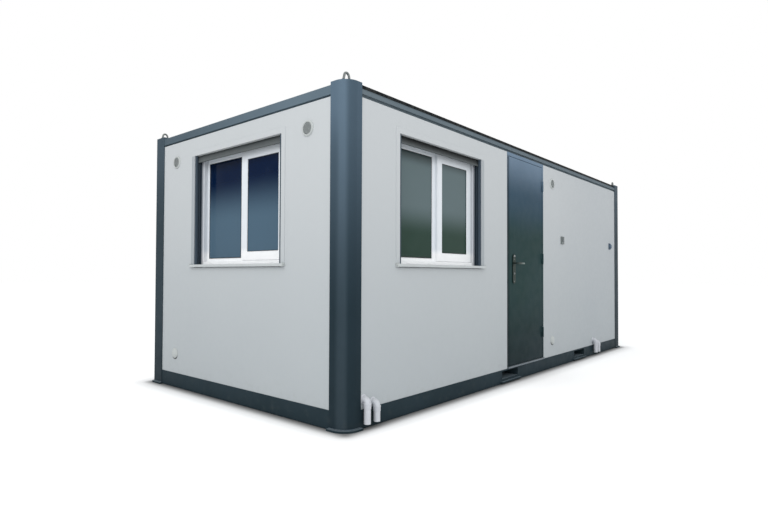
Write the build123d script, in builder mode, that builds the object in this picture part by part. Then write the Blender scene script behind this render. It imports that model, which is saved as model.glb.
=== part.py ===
"""Portable site cabin: a steel frame with panel walls, two shuttered windows and one outward door.

Millimetres. +X runs along the front from left to right, +Y runs from front to rear, +Z is up.
The origin is on the ground, at the middle of everything that the cabin covers.
"""
from build123d import *
import os

os.makedirs("parts", exist_ok=True)

# Overall size, measured over the corner posts
cabin_length = 6055
cabin_width = 2700
post_top = 2470

# Corner posts and their base plates
post_side = 160
front_left_radius = 110
plain_corner_radius = 20
post_wall = 4
plate_thickness = 15
plate_reach = 20
nose_lip = 8

# Base rails
base_rail_set_back = 5
base_rail_bottom = 5
base_rail_top = 140
base_rail_depth = 120
rail_wall = 4

# Roof rails, with a gutter inside their upstands
roof_rail_bottom = 2369
roof_rail_ledge = 2420
roof_rail_depth = 122
roof_rail_wall = 3
shadow_gap_set_back = 22
long_band_bottom = 2392
long_band_set_back = 3
long_upstand_set_back = 24
long_upstand_top = 2465
end_band_bottom = 2383
end_upstand_top = 2449
upstand_thickness = 4

# Walls, floor, ceiling and roof
wall_set_back = 8
wall_thickness = 110
floor_thickness = 20
ceiling_thickness = 45
joist_width = 50
joist_spacing = 600
roof_sheet_thickness = 2
roof_rib_pitch = 250
roof_rib_height = 18
roof_rib_foot = 90
roof_rib_crown = 50
roof_edge_gap = 4

# Fork pockets
pocket_centres = (-575, 1375)
pocket_inner_width = 350
pocket_inner_height = 76
pocket_wall = 5
pocket_floor = 50
pocket_lip_width = 424
pocket_lip_reach = 25
pocket_lip_bottom = 16
pocket_lip_thickness = 12

# Lifting eyes
eye_rod_radius = 9
eye_foot_width = 84
eye_shoulder_width = 64
eye_shoulder_height = 38
eye_line_height = 56
eye_set_back = 62

# Window openings in the panels, and where they are
opening_width = 1262
opening_bottom = 1154
opening_head = 2197
front_window_from_left = 1238.5
end_window_from_middle = -10

# Window trim, sill and roller shutter
trim_width = 45
trim_proud = 5
trim_chamfer = 1.5
sill_top = 1182
sill_nose_reach = 25
sill_nose_height = 23
sill_sheet = 3
guide_width = 24
guide_front = 4
guide_wall = 4
guide_slot_depth = 16
curtain_front = 24
curtain_thickness = 12
curtain_drop = 61
curtain_play = 2
end_slat_height = 18
slat_crown = 3
slat_groove = 3

# Window frame, sash and panes; depths are taken from the outer face of the wall
frame_front = 62
frame_back = 120
frame_side = 57
frame_foot = 29
frame_head = 34
rebate_front = 103
bead_width = 29
bead_head = 39
mullion_width = 46
sash_front = 78
sash_gap = 2
sash_left = 4
sash_width = 76
sash_cover = 20
sash_chamfer = 6
bead_chamfer = 9
seat_gap = 0.3
pane_thickness = 6
pane_set_back = 3

# Doorway, leaf and threshold
door_centre_x = -189
door_frame_width = 884
door_jamb = 33
door_header = 36
door_proud = 4
leaf_thickness = 40
leaf_gap = 6
stop_gap = 6
stop_width = 20
threshold_height = 16
threshold_reach = 12
leaf_ground_gap = 5

# Hinges
hinge_heights = (450, 1282, 2112)
hinge_radius = 9
hinge_pin_radius = 5
hinge_half = 55
hinge_flag = 30
hinge_flag_thickness = 3
hinge_gap = 0.5
running_gap = 0.05
hinge_stand_off = 0.4

# Lever handle and lock plates
lock_x = -495
lever_height = 1220
lock_plate_width = 60
lock_plate_below = 210
lock_plate_above = 92
lock_plate_thickness = 9
cylinder_drop = 106
cylinder_radius = 12
cylinder_reach = 5
lever_radius = 9
lever_neck = 42
lever_length = 150
spindle_radius = 5

# Round wall vents
vent_radius = 62
vent_thickness = 11
vent_slope = 20
vent_grille_radius = 46
vent_slat_thickness = 3
vent_slat_spacing = 18
upper_vent_height = 2182
lower_vent_height = 328
end_vent_from_middle = 944
front_vent_from_door = 260
cover_radius = 52
cover_thickness = 10
cover_slope = 35

# Drain outlets
drain_from_left = 245
drain_from_right = 1079.5
drain_spacing = 103
drain_heights = (212, 177)
drain_radius = 25
drain_bore_radius = 21.5
drain_socket_radius = 29
drain_socket_length = 34
drain_stand_off = 32
drain_bottom = 42
drain_mitre = 24

# Small wall fittings
fitting_height = 1524
light_box_from_door = 562
light_box_width = 80
light_box_height = 92
light_box_depth = 16
light_box_chamfer = 3
inlet_from_right = 402.5
inlet_width = 76
inlet_flange_height = 92
inlet_flange_thickness = 6
inlet_cap_radius = 31
inlet_cap_length = 24
inlet_cap_chamfer = 5

# Planes of the frame
front_reach = drain_stand_off + drain_socket_radius
total_depth = cabin_width + front_reach + plate_reach
front_y = -total_depth / 2 + front_reach
rear_y = front_y + cabin_width
middle_y = (front_y + rear_y) / 2
left_x = -cabin_length / 2
right_x = cabin_length / 2
rail_half_length = cabin_length / 2 - post_side
rail_half_width = cabin_width / 2 - post_side
door_left_x = door_centre_x - door_frame_width / 2
door_right_x = door_centre_x + door_frame_width / 2
front_window_x = left_x + front_window_from_left
front_vent_x = door_right_x + front_vent_from_door
light_box_x = door_right_x + light_box_from_door
inlet_x = right_x - inlet_from_right
drain_pairs = (left_x + drain_from_left, right_x - drain_from_right)

# Planes that stand on the four outer faces: x to the right as seen from outside, y up, z outwards
front_plane = Plane((0, front_y, 0), x_dir=(1, 0, 0), z_dir=(0, -1, 0))
rear_plane = Plane((0, rear_y, 0), x_dir=(-1, 0, 0), z_dir=(0, 1, 0))
left_plane = Plane((left_x, middle_y, 0), x_dir=(0, -1, 0), z_dir=(-1, 0, 0))
right_plane = Plane((right_x, middle_y, 0), x_dir=(0, 1, 0), z_dir=(1, 0, 0))
front_wall_plane = front_plane.offset(-wall_set_back)
left_wall_plane = left_plane.offset(-wall_set_back)

# Planes that cut across the rails at one end of each: x inwards, y up, z along the rail
section_planes = {
    "front": Plane((-rail_half_length, front_y, 0), x_dir=(0, 1, 0), z_dir=(1, 0, 0)),
    "rear": Plane((rail_half_length, rear_y, 0), x_dir=(0, -1, 0), z_dir=(-1, 0, 0)),
    "left": Plane((left_x, middle_y + rail_half_width, 0), x_dir=(1, 0, 0), z_dir=(0, -1, 0)),
    "right": Plane((right_x, middle_y - rail_half_width, 0), x_dir=(-1, 0, 0), z_dir=(0, 1, 0)),
}
corners = {
    "front_left": Plane((left_x, front_y, 0), x_dir=(1, 0, 0), z_dir=(0, 0, 1)),
    "front_right": Plane((right_x, front_y, 0), x_dir=(0, 1, 0), z_dir=(0, 0, 1)),
    "rear_right": Plane((right_x, rear_y, 0), x_dir=(-1, 0, 0), z_dir=(0, 0, 1)),
    "rear_left": Plane((left_x, rear_y, 0), x_dir=(0, -1, 0), z_dir=(0, 0, 1)),
}
corner_radii = {name: plain_corner_radius for name in corners} | {"front_left": front_left_radius}
LOW_CORNER = (Align.MIN, Align.MIN)
LOW_MIDDLE = (Align.CENTER, Align.MIN)


def save(piece, name):
    """Labels a finished piece and writes it."""
    piece.label = name
    export_step(piece, f"parts/{name}.step")


# Corner posts: closed folded sections with a round on the outer corner, capped on top
for corner_name, ground in corners.items():
    foot = ground.offset(plate_thickness)
    radius = corner_radii[corner_name]
    with BuildPart() as corner_post:
        with BuildSketch(foot) as outline:
            Rectangle(post_side, post_side, align=LOW_CORNER)
            fillet(outline.vertices().sort_by_distance((0, 0, 0))[0], radius)
        extrude(amount=post_top - plate_thickness)
        with BuildSketch(foot) as bore:
            with Locations((post_wall, post_wall)):
                Rectangle(post_side - 2 * post_wall, post_side - 2 * post_wall, align=LOW_CORNER)
            fillet(bore.vertices().sort_by_distance((0, 0, 0))[0], radius - post_wall)
        extrude(amount=post_top - plate_thickness - post_wall, mode=Mode.SUBTRACT)
    save(corner_post.part, f"corner_post_{corner_name}")

# Base plates: one under each post, with lips that lie in front of the ends of the rails
with BuildPart() as base_plates:
    for corner_name, ground in corners.items():
        with BuildSketch(ground) as plate:
            with Locations((-plate_reach, -plate_reach)):
                Rectangle(post_side + plate_reach, post_side + plate_reach, align=LOW_CORNER)
                Rectangle(post_side + plate_reach + nose_lip, plate_reach, align=LOW_CORNER)
                Rectangle(plate_reach, post_side + plate_reach + nose_lip, align=LOW_CORNER)
            tip = plate.vertices().sort_by_distance((-plate_reach, -plate_reach, 0))[0]
            fillet(tip, corner_radii[corner_name] + plate_reach)
        extrude(amount=plate_thickness)
save(base_plates.part, "base_plates")

# Lifting eyes: round bar bent in flat steps on the cap of each post, open along Y
eye_foot = eye_foot_width / 2 - eye_rod_radius
eye_shoulder = eye_shoulder_width / 2 - eye_rod_radius
with BuildPart() as lifting_eyes:
    for ground in corners.values():
        eye_middle = ground.from_local_coords((eye_set_back, eye_set_back, post_top))
        upright = Plane(eye_middle, x_dir=(1, 0, 0), z_dir=(0, -1, 0))
        with BuildLine(upright) as bar:
            Polyline((-eye_foot, 0), (-eye_shoulder, eye_shoulder_height), (0, eye_line_height),
                     (eye_shoulder, eye_shoulder_height), (eye_foot, 0))
        with BuildSketch(Plane(bar.line @ 0, z_dir=bar.line % 0)):
            Circle(eye_rod_radius)
        sweep(path=bar.line, transition=Transition.RIGHT)
        with BuildSketch(Plane(eye_middle)):
            Rectangle(2 * eye_foot_width, eye_foot_width)
        extrude(amount=-eye_foot_width, mode=Mode.SUBTRACT)
save(lifting_eyes.part, "lifting_eyes")


def base_rail(name, section, length, face, pocket_places):
    """Makes one base rail, a channel that opens inwards, with its fork pocket cut-outs and lips."""
    height = base_rail_top - base_rail_bottom
    with BuildPart() as rail:
        with BuildSketch(section):
            with Locations((base_rail_set_back, base_rail_bottom)):
                Rectangle(base_rail_depth, height, align=LOW_CORNER)
            with Locations((base_rail_set_back + rail_wall, base_rail_bottom + rail_wall)):
                Rectangle(base_rail_depth, height - 2 * rail_wall, align=LOW_CORNER, mode=Mode.SUBTRACT)
        extrude(amount=length)
        web = face.offset(-base_rail_set_back)
        for place in pocket_places:
            with BuildSketch(web):
                with Locations((place, pocket_floor - pocket_wall)):
                    Rectangle(pocket_outer_width, pocket_outer_height, align=LOW_MIDDLE)
            extrude(amount=-base_rail_depth, mode=Mode.SUBTRACT)
            with BuildSketch(web):
                with Locations((place, pocket_lip_bottom)):
                    Rectangle(pocket_lip_width, pocket_lip_thickness, align=LOW_MIDDLE)
            extrude(amount=pocket_lip_reach)
    save(rail.part, name)


pocket_outer_width = pocket_inner_width + 2 * pocket_wall
pocket_outer_height = pocket_inner_height + 2 * pocket_wall
rear_pocket_centres = [-centre for centre in pocket_centres]
base_rail("base_rail_front", section_planes["front"], 2 * rail_half_length, front_plane, pocket_centres)
base_rail("base_rail_rear", section_planes["rear"], 2 * rail_half_length, rear_plane, rear_pocket_centres)
base_rail("base_rail_left", section_planes["left"], 2 * rail_half_width, left_plane, ())
base_rail("base_rail_right", section_planes["right"], 2 * rail_half_width, right_plane, ())

# Fork pockets: rectangular tubes that run across under the floor and open in both long rails
pocket_length = cabin_width - 2 * base_rail_set_back
for side_name, pocket_x in zip(("left", "right"), pocket_centres):
    with BuildPart() as fork_pocket:
        with BuildSketch(front_plane.offset(-base_rail_set_back)):
            with Locations((pocket_x, pocket_floor - pocket_wall)):
                Rectangle(pocket_outer_width, pocket_outer_height, align=LOW_MIDDLE)
            with Locations((pocket_x, pocket_floor)):
                Rectangle(pocket_inner_width, pocket_inner_height, align=LOW_MIDDLE, mode=Mode.SUBTRACT)
        extrude(amount=-pocket_length)
    save(fork_pocket.part, f"fork_pocket_{side_name}")

# Floor joists: channels between the long rails, left out where a fork pocket passes
joist_length = cabin_width - 2 * (base_rail_set_back + base_rail_depth)
joist_count = int((2 * rail_half_length - joist_width) // joist_spacing) + 1
joist_reach = (joist_count - 1) * joist_spacing / 2
joist_places = [number * joist_spacing - joist_reach for number in range(joist_count)]
clear_of_pocket = (pocket_outer_width + joist_width) / 2
with BuildPart() as floor_joists:
    for joist_x in joist_places:
        if min(abs(joist_x - pocket_x) for pocket_x in pocket_centres) < clear_of_pocket:
            continue
        with BuildSketch(front_plane.offset(-base_rail_set_back - base_rail_depth)):
            with Locations((joist_x, base_rail_bottom)):
                Rectangle(joist_width, base_rail_top - base_rail_bottom, align=LOW_MIDDLE)
            with Locations((joist_x + rail_wall, base_rail_bottom + rail_wall)):
                Rectangle(joist_width, base_rail_top - base_rail_bottom - 2 * rail_wall,
                          align=LOW_MIDDLE, mode=Mode.SUBTRACT)
        extrude(amount=-joist_length)
save(floor_joists.part, "floor_joists")


def room_slab(name, low, thickness, inset, notch):
    """Makes a slab that fills the plan inside an inset, notched round the corner posts."""
    with BuildPart() as slab:
        with BuildSketch(Plane((0, middle_y, low))):
            Rectangle(cabin_length - 2 * inset, cabin_width - 2 * inset)
            with GridLocations(cabin_length, cabin_width, 2, 2):
                Rectangle(2 * notch, 2 * notch, mode=Mode.SUBTRACT)
        extrude(amount=thickness)
    save(slab.part, name)


wall_inner = wall_set_back + wall_thickness
room_slab("floor_board", base_rail_top, floor_thickness, wall_inner, post_side)
room_slab("ceiling_panel", roof_rail_bottom - ceiling_thickness, ceiling_thickness, wall_inner, post_side)


def roof_rail(name, section, length, band_bottom, upstand_front, upstand_top):
    """Makes one roof rail: a hollow box over a shadow gap, with an upstand that edges the roof."""
    with BuildPart() as rail:
        with BuildSketch(section):
            with BuildLine():
                Polyline((shadow_gap_set_back, roof_rail_bottom), (shadow_gap_set_back, band_bottom),
                         (long_band_set_back, band_bottom), (long_band_set_back, roof_rail_ledge),
                         (roof_rail_depth, roof_rail_ledge), (roof_rail_depth, roof_rail_bottom),
                         close=True)
            make_face()
            with Locations((shadow_gap_set_back + roof_rail_wall, roof_rail_bottom + roof_rail_wall)):
                Rectangle(roof_rail_depth - shadow_gap_set_back - 2 * roof_rail_wall,
                          roof_rail_ledge - roof_rail_bottom - 2 * roof_rail_wall,
                          align=LOW_CORNER, mode=Mode.SUBTRACT)
            with Locations((upstand_front, roof_rail_ledge)):
                Rectangle(upstand_thickness, upstand_top - roof_rail_ledge, align=LOW_CORNER)
        extrude(amount=length)
    save(rail.part, name)


for side_name in ("front", "rear"):
    roof_rail(f"roof_rail_{side_name}", section_planes[side_name], 2 * rail_half_length,
              long_band_bottom, long_upstand_set_back, long_upstand_top)
for side_name in ("left", "right"):
    roof_rail(f"roof_rail_{side_name}", section_planes[side_name], 2 * rail_half_width,
              end_band_bottom, long_band_set_back, end_upstand_top)

# Roof sheet: trapezoid ribs across the width, laid on the ledges inside the upstands
sheet_half_length = cabin_length / 2 - long_band_set_back - upstand_thickness - roof_edge_gap
sheet_half_width = cabin_width / 2 - long_upstand_set_back - upstand_thickness - roof_edge_gap
rib_count = int(2 * (sheet_half_length - post_side) // roof_rib_pitch)
rib_reach = (rib_count - 1) * roof_rib_pitch / 2
roof_low = roof_rail_ledge
with BuildPart() as roof_sheet:
    with BuildSketch(Plane((0, middle_y + sheet_half_width, 0), x_dir=(1, 0, 0), z_dir=(0, -1, 0))):
        with BuildLine():
            outline = [(-sheet_half_length, roof_low)]
            for number in range(rib_count):
                rib_x = number * roof_rib_pitch - rib_reach
                outline += [(rib_x - roof_rib_foot / 2, roof_low),
                            (rib_x - roof_rib_crown / 2, roof_low + roof_rib_height),
                            (rib_x + roof_rib_crown / 2, roof_low + roof_rib_height),
                            (rib_x + roof_rib_foot / 2, roof_low)]
            outline.append((sheet_half_length, roof_low))
            upper = [(x, z + roof_sheet_thickness) for x, z in reversed(outline)]
            Polyline(*outline, *upper, close=True)
        make_face()
    extrude(amount=2 * sheet_half_width)
    with BuildSketch(Plane((0, middle_y, roof_low))):
        with GridLocations(cabin_length, cabin_width, 2, 2):
            Rectangle(2 * post_side, 2 * post_side)
    extrude(amount=roof_rib_height + roof_sheet_thickness, mode=Mode.SUBTRACT)
save(roof_sheet.part, "roof_sheet")


def wall_panel(name, face, low_x, high_x, window_x=None):
    """Makes one wall between two places along its face, with a window hole where one is given."""
    with BuildPart() as wall:
        with BuildSketch(face):
            with Locations((low_x, base_rail_top)):
                Rectangle(high_x - low_x, roof_rail_bottom - base_rail_top, align=LOW_CORNER)
            if window_x is not None:
                with Locations((window_x, opening_bottom)):
                    Rectangle(opening_width, opening_height, align=LOW_MIDDLE, mode=Mode.SUBTRACT)
        extrude(amount=-wall_thickness)
    save(wall.part, name)


opening_height = opening_head - opening_bottom
left_window_x = -end_window_from_middle
wall_panel("front_wall_left", front_wall_plane, -rail_half_length, door_left_x, front_window_x)
wall_panel("front_wall_right", front_wall_plane, door_right_x, rail_half_length)
wall_panel("rear_wall", rear_plane.offset(-wall_set_back), -rail_half_length, rail_half_length)
wall_panel("left_wall", left_wall_plane, -rail_half_width, rail_half_width, left_window_x)
wall_panel("right_wall", right_plane.offset(-wall_set_back), -rail_half_width, rail_half_width)

# Windows: local x runs from the middle of the opening, y from the ground, z out of the wall
half_opening = opening_width / 2
frame_inner_low = sill_top + frame_foot
frame_inner_high = opening_head - frame_head
frame_inner_half = half_opening - frame_side
bead_high = frame_inner_high - bead_head
bead_low = frame_inner_low + bead_width
bead_left = -frame_inner_half + bead_width
mullion_left = sash_left - sash_gap - mullion_width
sash_right = frame_inner_half - sash_gap
sash_low = frame_inner_low + sash_gap
sash_high = frame_inner_high - sash_gap


def rectangle_between(low_x, high_x, low_y, high_y, mode=Mode.ADD):
    """Adds a rectangle to the sketch by its four sides."""
    with Locations(((low_x + high_x) / 2, (low_y + high_y) / 2)):
        Rectangle(high_x - low_x, high_y - low_y, mode=mode)


def window_trim(name, face):
    """Makes the flat flange round the sides and head of an opening."""
    with BuildPart() as trim:
        with BuildSketch(face):
            rectangle_between(-half_opening - trim_width, half_opening + trim_width,
                              sill_top, opening_head + trim_width)
            rectangle_between(-half_opening, half_opening, sill_top, opening_head, Mode.SUBTRACT)
        extrude(amount=trim_proud)
        outer_edges = trim.faces().sort_by(Axis(face.origin, face.z_dir))[-1].outer_wire().edges()
        chamfer(outer_edges, trim_chamfer)
    save(trim.part, name)


def window_sill(name, face):
    """Makes the folded metal sill: a sloping sheet with a nose in front of the wall."""
    section = Plane(face.from_local_coords((half_opening + trim_width, 0, 0)),
                    x_dir=face.z_dir, z_dir=-face.x_dir)
    with BuildPart() as sill:
        with BuildSketch(section):
            with BuildLine():
                Polyline((0, sill_top), (sill_nose_reach, sill_top), (sill_nose_reach, sill_nose_low),
                         (sill_nose_reach - sill_sheet, sill_nose_low),
                         (sill_nose_reach - sill_sheet, sill_top - sill_sheet),
                         (0, sill_top - sill_sheet), close=True)
            make_face()
        extrude(amount=opening_width + 2 * trim_width)
        with BuildSketch(face):
            rectangle_between(-half_opening, half_opening, sill_top - sill_sheet, sill_top)
        extrude(amount=-frame_front)
    save(sill.part, name)


def shutter_guides(name, face):
    """Makes the two channels that the shutter runs in, one down each side of the opening."""
    slot_front = curtain_front - curtain_play
    slot_thickness = curtain_thickness + 2 * curtain_play
    with BuildPart() as guides:
        for side in (-1, 1):
            mouth = half_opening - guide_width
            with BuildSketch(face.offset(-guide_front)):
                rectangle_between(side * mouth, side * half_opening, sill_top, opening_head)
            extrude(amount=guide_front - frame_front)
            with BuildSketch(face.offset(-slot_front)):
                rectangle_between(side * mouth, side * (mouth + guide_slot_depth), sill_top, opening_head)
            extrude(amount=-slot_thickness, mode=Mode.SUBTRACT)
            with BuildSketch(face.offset(-slot_front - slot_thickness - guide_wall)):
                rectangle_between(side * mouth, side * (half_opening - guide_wall), sill_top, opening_head)
            extrude(amount=slot_front + slot_thickness + 2 * guide_wall - frame_front, mode=Mode.SUBTRACT)
    save(guides.part, name)


def shutter_curtain(name, face):
    """Makes the last slats of the raised shutter, which show under the head of the opening."""
    curtain_half = half_opening - guide_width + guide_slot_depth - curtain_play
    section = Plane(face.from_local_coords((-curtain_half, 0, -curtain_front)),
                    x_dir=-face.z_dir, z_dir=face.x_dir)
    curtain_low = opening_head - curtain_drop
    groove_low = curtain_low + end_slat_height
    groove_high = groove_low + slat_groove
    slat_middle = (groove_high + opening_head) / 2
    with BuildPart() as curtain:
        with BuildSketch(section):
            with BuildLine():
                Polyline((0, curtain_low), (0, groove_low), (slat_groove, groove_low),
                         (slat_groove, groove_high), (0, slat_middle), (slat_groove, opening_head),
                         (curtain_thickness, opening_head), (curtain_thickness - slat_crown, slat_middle),
                         (curtain_thickness, groove_high), (curtain_thickness, curtain_low), close=True)
            make_face()
        extrude(amount=2 * curtain_half)
    save(curtain.part, name)


def window_frame(name, face):
    """Makes the moulded outer frame, with its mullion, a beaded rebate on the left and a stop."""
    with BuildPart() as frame:
        with BuildSketch(face.offset(-frame_front)):
            rectangle_between(-half_opening, half_opening, opening_bottom, opening_head)
            rectangle_between(-frame_inner_half, frame_inner_half,
                              frame_inner_low, frame_inner_high, Mode.SUBTRACT)
        extrude(amount=frame_front - frame_back)
        front_face = frame.faces().sort_by(Axis(face.origin, face.z_dir))[-1]
        chamfer(front_face.inner_wires()[0].edges(), sash_chamfer)
        with BuildSketch(face.offset(-rebate_front)):
            rectangle_between(-frame_inner_half, frame_inner_half, frame_inner_low, frame_inner_high)
            rectangle_between(bead_left, mullion_left, bead_low, bead_high, Mode.SUBTRACT)
            rectangle_between(sash_left + sash_cover, sash_right - sash_cover,
                              sash_low + sash_cover, sash_high - sash_cover, Mode.SUBTRACT)
        extrude(amount=rebate_front - frame_back)
        bead_corner = face.from_local_coords((bead_left, bead_low, -rebate_front))
        bead_face = frame.faces().filter_by(Axis(face.origin, face.z_dir)).sort_by_distance(bead_corner)[0]
        bead_wire = bead_face.inner_wires().sort_by_distance(bead_corner)[0]
        chamfer(bead_wire.edges(), bead_chamfer)
    save(frame.part, name)


def window_sash(name, face):
    """Makes the opening sash on the right, whose chamfered face stands in front of the mullion."""
    with BuildPart() as sash:
        with BuildSketch(face.offset(-sash_front)):
            rectangle_between(sash_left, sash_right, sash_low, sash_high)
            rectangle_between(sash_left + sash_width, sash_right - sash_width,
                              sash_low + sash_width, sash_high - sash_width, Mode.SUBTRACT)
        extrude(amount=sash_front - rebate_front + seat_gap)
        front_face = sash.faces().sort_by(Axis(face.origin, face.z_dir))[-1]
        chamfer(front_face.edges(), sash_chamfer)
    save(sash.part, name)


def window_panes(name, face):
    """Makes the two glass units, one in the frame's bead and one in the sash."""
    with BuildPart() as panes:
        with BuildSketch(face.offset(-rebate_front - bead_chamfer + pane_set_back)):
            rectangle_between(bead_left, mullion_left, bead_low, bead_high)
        extrude(amount=-pane_thickness)
        with BuildSketch(face.offset(-sash_front - sash_chamfer - pane_set_back)):
            rectangle_between(sash_left + sash_width, sash_right - sash_width,
                              sash_low + sash_width, sash_high - sash_width)
        extrude(amount=-pane_thickness)
    save(panes.part, name)


sill_nose_low = sill_top - sill_nose_height
for window_name, face in (
    ("front_window", Plane(front_wall_plane.from_local_coords((front_window_x, 0, 0)),
                           x_dir=front_wall_plane.x_dir, z_dir=front_wall_plane.z_dir)),
    ("end_window", Plane(left_wall_plane.from_local_coords((left_window_x, 0, 0)),
                         x_dir=left_wall_plane.x_dir, z_dir=left_wall_plane.z_dir)),
):
    window_trim(f"{window_name}_trim", face)
    window_sill(f"{window_name}_sill", face)
    shutter_guides(f"{window_name}_shutter_guides", face)
    shutter_curtain(f"{window_name}_shutter_curtain", face)
    window_frame(f"{window_name}_frame", face)
    window_sash(f"{window_name}_sash", face)
    window_panes(f"{window_name}_panes", face)

# Door frame: jambs and header with a stop behind the leaf
door_face = front_wall_plane.offset(door_proud)
door_opening_half = door_frame_width / 2 - door_jamb
door_opening_top = roof_rail_bottom - door_header
door_frame_depth = wall_thickness + door_proud
stop_depth = leaf_thickness + stop_gap
with BuildPart() as door_frame:
    with BuildSketch(door_face):
        rectangle_between(door_left_x, door_right_x, base_rail_top, roof_rail_bottom)
        rectangle_between(door_centre_x - door_opening_half, door_centre_x + door_opening_half,
                          base_rail_top, door_opening_top, Mode.SUBTRACT)
    extrude(amount=-door_frame_depth)
    with BuildSketch(door_face.offset(-stop_depth)):
        rectangle_between(door_centre_x - door_opening_half, door_centre_x + door_opening_half,
                          base_rail_top, door_opening_top)
        rectangle_between(door_centre_x - door_opening_half + stop_width,
                          door_centre_x + door_opening_half - stop_width,
                          base_rail_top, door_opening_top - stop_width, Mode.SUBTRACT)
    extrude(amount=stop_depth - door_frame_depth)
save(door_frame.part, "door_frame")

# Threshold: a flat strip in front of the jambs and between them
threshold_top = base_rail_top + threshold_height
with BuildPart() as door_threshold:
    with BuildSketch(door_face):
        rectangle_between(door_left_x, door_right_x, base_rail_top, threshold_top)
    extrude(amount=threshold_reach)
    with BuildSketch(door_face):
        rectangle_between(door_centre_x - door_opening_half, door_centre_x + door_opening_half,
                          base_rail_top, threshold_top)
    extrude(amount=-stop_depth)
save(door_threshold.part, "door_threshold")

# Door leaf: a flush steel leaf, bored for the lever's spindle and the key cylinder
leaf_left_x = door_centre_x - door_opening_half + leaf_gap
leaf_right_x = door_centre_x + door_opening_half - leaf_gap
leaf_bottom = threshold_top + leaf_ground_gap
leaf_top = door_opening_top - leaf_gap
cylinder_height = lever_height - cylinder_drop
spindle_bore = spindle_radius + running_gap
with BuildPart() as door_leaf:
    with BuildSketch(door_face):
        rectangle_between(leaf_left_x, leaf_right_x, leaf_bottom, leaf_top)
        with Locations((lock_x, lever_height)):
            Circle(spindle_bore, mode=Mode.SUBTRACT)
    extrude(amount=-leaf_thickness)
save(door_leaf.part, "door_leaf")

# Lock plates: a long plate with round ends on each side of the leaf, each with a cylinder end
lock_middle = lever_height + (lock_plate_above - lock_plate_below) / 2
leaf_inner = door_face.offset(-leaf_thickness)
with BuildPart() as door_lock_plates:
    for face, outwards in ((door_face, 1), (leaf_inner, -1)):
        with BuildSketch(face):
            with Locations((lock_x, lock_middle)):
                SlotOverall(lock_plate_above + lock_plate_below, lock_plate_width, rotation=90)
            with Locations((lock_x, lever_height)):
                Circle(spindle_bore, mode=Mode.SUBTRACT)
        extrude(amount=outwards * lock_plate_thickness)
        with BuildSketch(face.offset(outwards * lock_plate_thickness)):
            with Locations((lock_x, cylinder_height)):
                Circle(cylinder_radius)
        extrude(amount=outwards * cylinder_reach)
save(door_lock_plates.part, "door_lock_plates")

# Lever handles: one mitred bar on each side of the leaf, joined by the spindle
lever_root = lock_plate_thickness + seat_gap
with BuildPart() as door_lever:
    for face, outwards in ((door_face, 1), (leaf_inner, -1)):
        neck_plane = Plane(face.from_local_coords((lock_x, lever_height, 0)),
                           x_dir=face.x_dir, z_dir=-face.y_dir)
        reach = outwards * (lock_plate_thickness + lever_neck)
        with BuildLine(neck_plane) as lever_path:
            Polyline((0, outwards * lever_root), (0, reach), (lever_length, reach))
        with BuildSketch(Plane(lever_path.line @ 0, z_dir=lever_path.line % 0)):
            Circle(lever_radius)
        sweep(path=lever_path.line, transition=Transition.RIGHT)
    with BuildSketch(door_face.offset(lever_root)):
        with Locations((lock_x, lever_height)):
            Circle(spindle_radius)
    extrude(amount=-leaf_thickness - 2 * lever_root)
save(door_lever.part, "door_lever")

# Hinges: lift-off pairs, the leaf's half standing on the pin of the frame's half
hinge_x = leaf_right_x + leaf_gap / 2
hinge_face_gap = hinge_radius + hinge_stand_off
with BuildPart() as hinge_frame_halves:
    for hinge_middle in hinge_heights:
        low = Plane(door_face.from_local_coords((hinge_x, hinge_middle - hinge_half, hinge_face_gap)),
                    x_dir=(1, 0, 0), z_dir=(0, 0, 1))
        with BuildSketch(low):
            Circle(hinge_radius)
            rectangle_between(0, hinge_flag, hinge_face_gap - hinge_flag_thickness, hinge_face_gap)
        extrude(amount=hinge_half)
        with BuildSketch(low.offset(hinge_half)):
            Circle(hinge_pin_radius)
        extrude(amount=hinge_half - hinge_pin_radius)
save(hinge_frame_halves.part, "hinge_frame_halves")

with BuildPart() as hinge_leaf_halves:
    for hinge_middle in hinge_heights:
        low = Plane(door_face.from_local_coords((hinge_x, hinge_middle + hinge_gap, hinge_face_gap)),
                    x_dir=(1, 0, 0), z_dir=(0, 0, 1))
        with BuildSketch(low):
            Circle(hinge_radius)
            rectangle_between(-hinge_flag, 0, hinge_face_gap - hinge_flag_thickness, hinge_face_gap)
        extrude(amount=hinge_half)
        with BuildSketch(low):
            Circle(hinge_pin_radius + running_gap)
        extrude(amount=hinge_half - hinge_pin_radius + hinge_gap, mode=Mode.SUBTRACT)
save(hinge_leaf_halves.part, "hinge_leaf_halves")

# Upper vents: round louvred grilles, two on the left end and one on the front
upper_vent_planes = [Plane(left_wall_plane.from_local_coords((place, upper_vent_height, 0)),
                           x_dir=left_wall_plane.x_dir, z_dir=left_wall_plane.z_dir)
                     for place in (-end_vent_from_middle, end_vent_from_middle)]
upper_vent_planes.append(Plane(front_wall_plane.from_local_coords((front_vent_x, upper_vent_height, 0)),
                               x_dir=front_wall_plane.x_dir, z_dir=front_wall_plane.z_dir))
slat_count = int(2 * vent_grille_radius // vent_slat_spacing)
with BuildPart() as upper_vents:
    for face in upper_vent_planes:
        with BuildSketch(face):
            Circle(vent_radius)
        extrude(amount=vent_thickness, taper=vent_slope)
        with BuildSketch(face.offset(vent_slat_thickness)):
            Circle(vent_grille_radius)
        extrude(amount=vent_thickness, mode=Mode.SUBTRACT)
        with BuildSketch(face.offset(vent_slat_thickness)):
            with GridLocations(0, vent_slat_spacing, 1, slat_count):
                Rectangle(2 * vent_grille_radius, vent_slat_thickness)
            Circle(vent_grille_radius, mode=Mode.INTERSECT)
        extrude(amount=vent_thickness - 2 * vent_slat_thickness)
save(upper_vents.part, "upper_vents")

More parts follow.
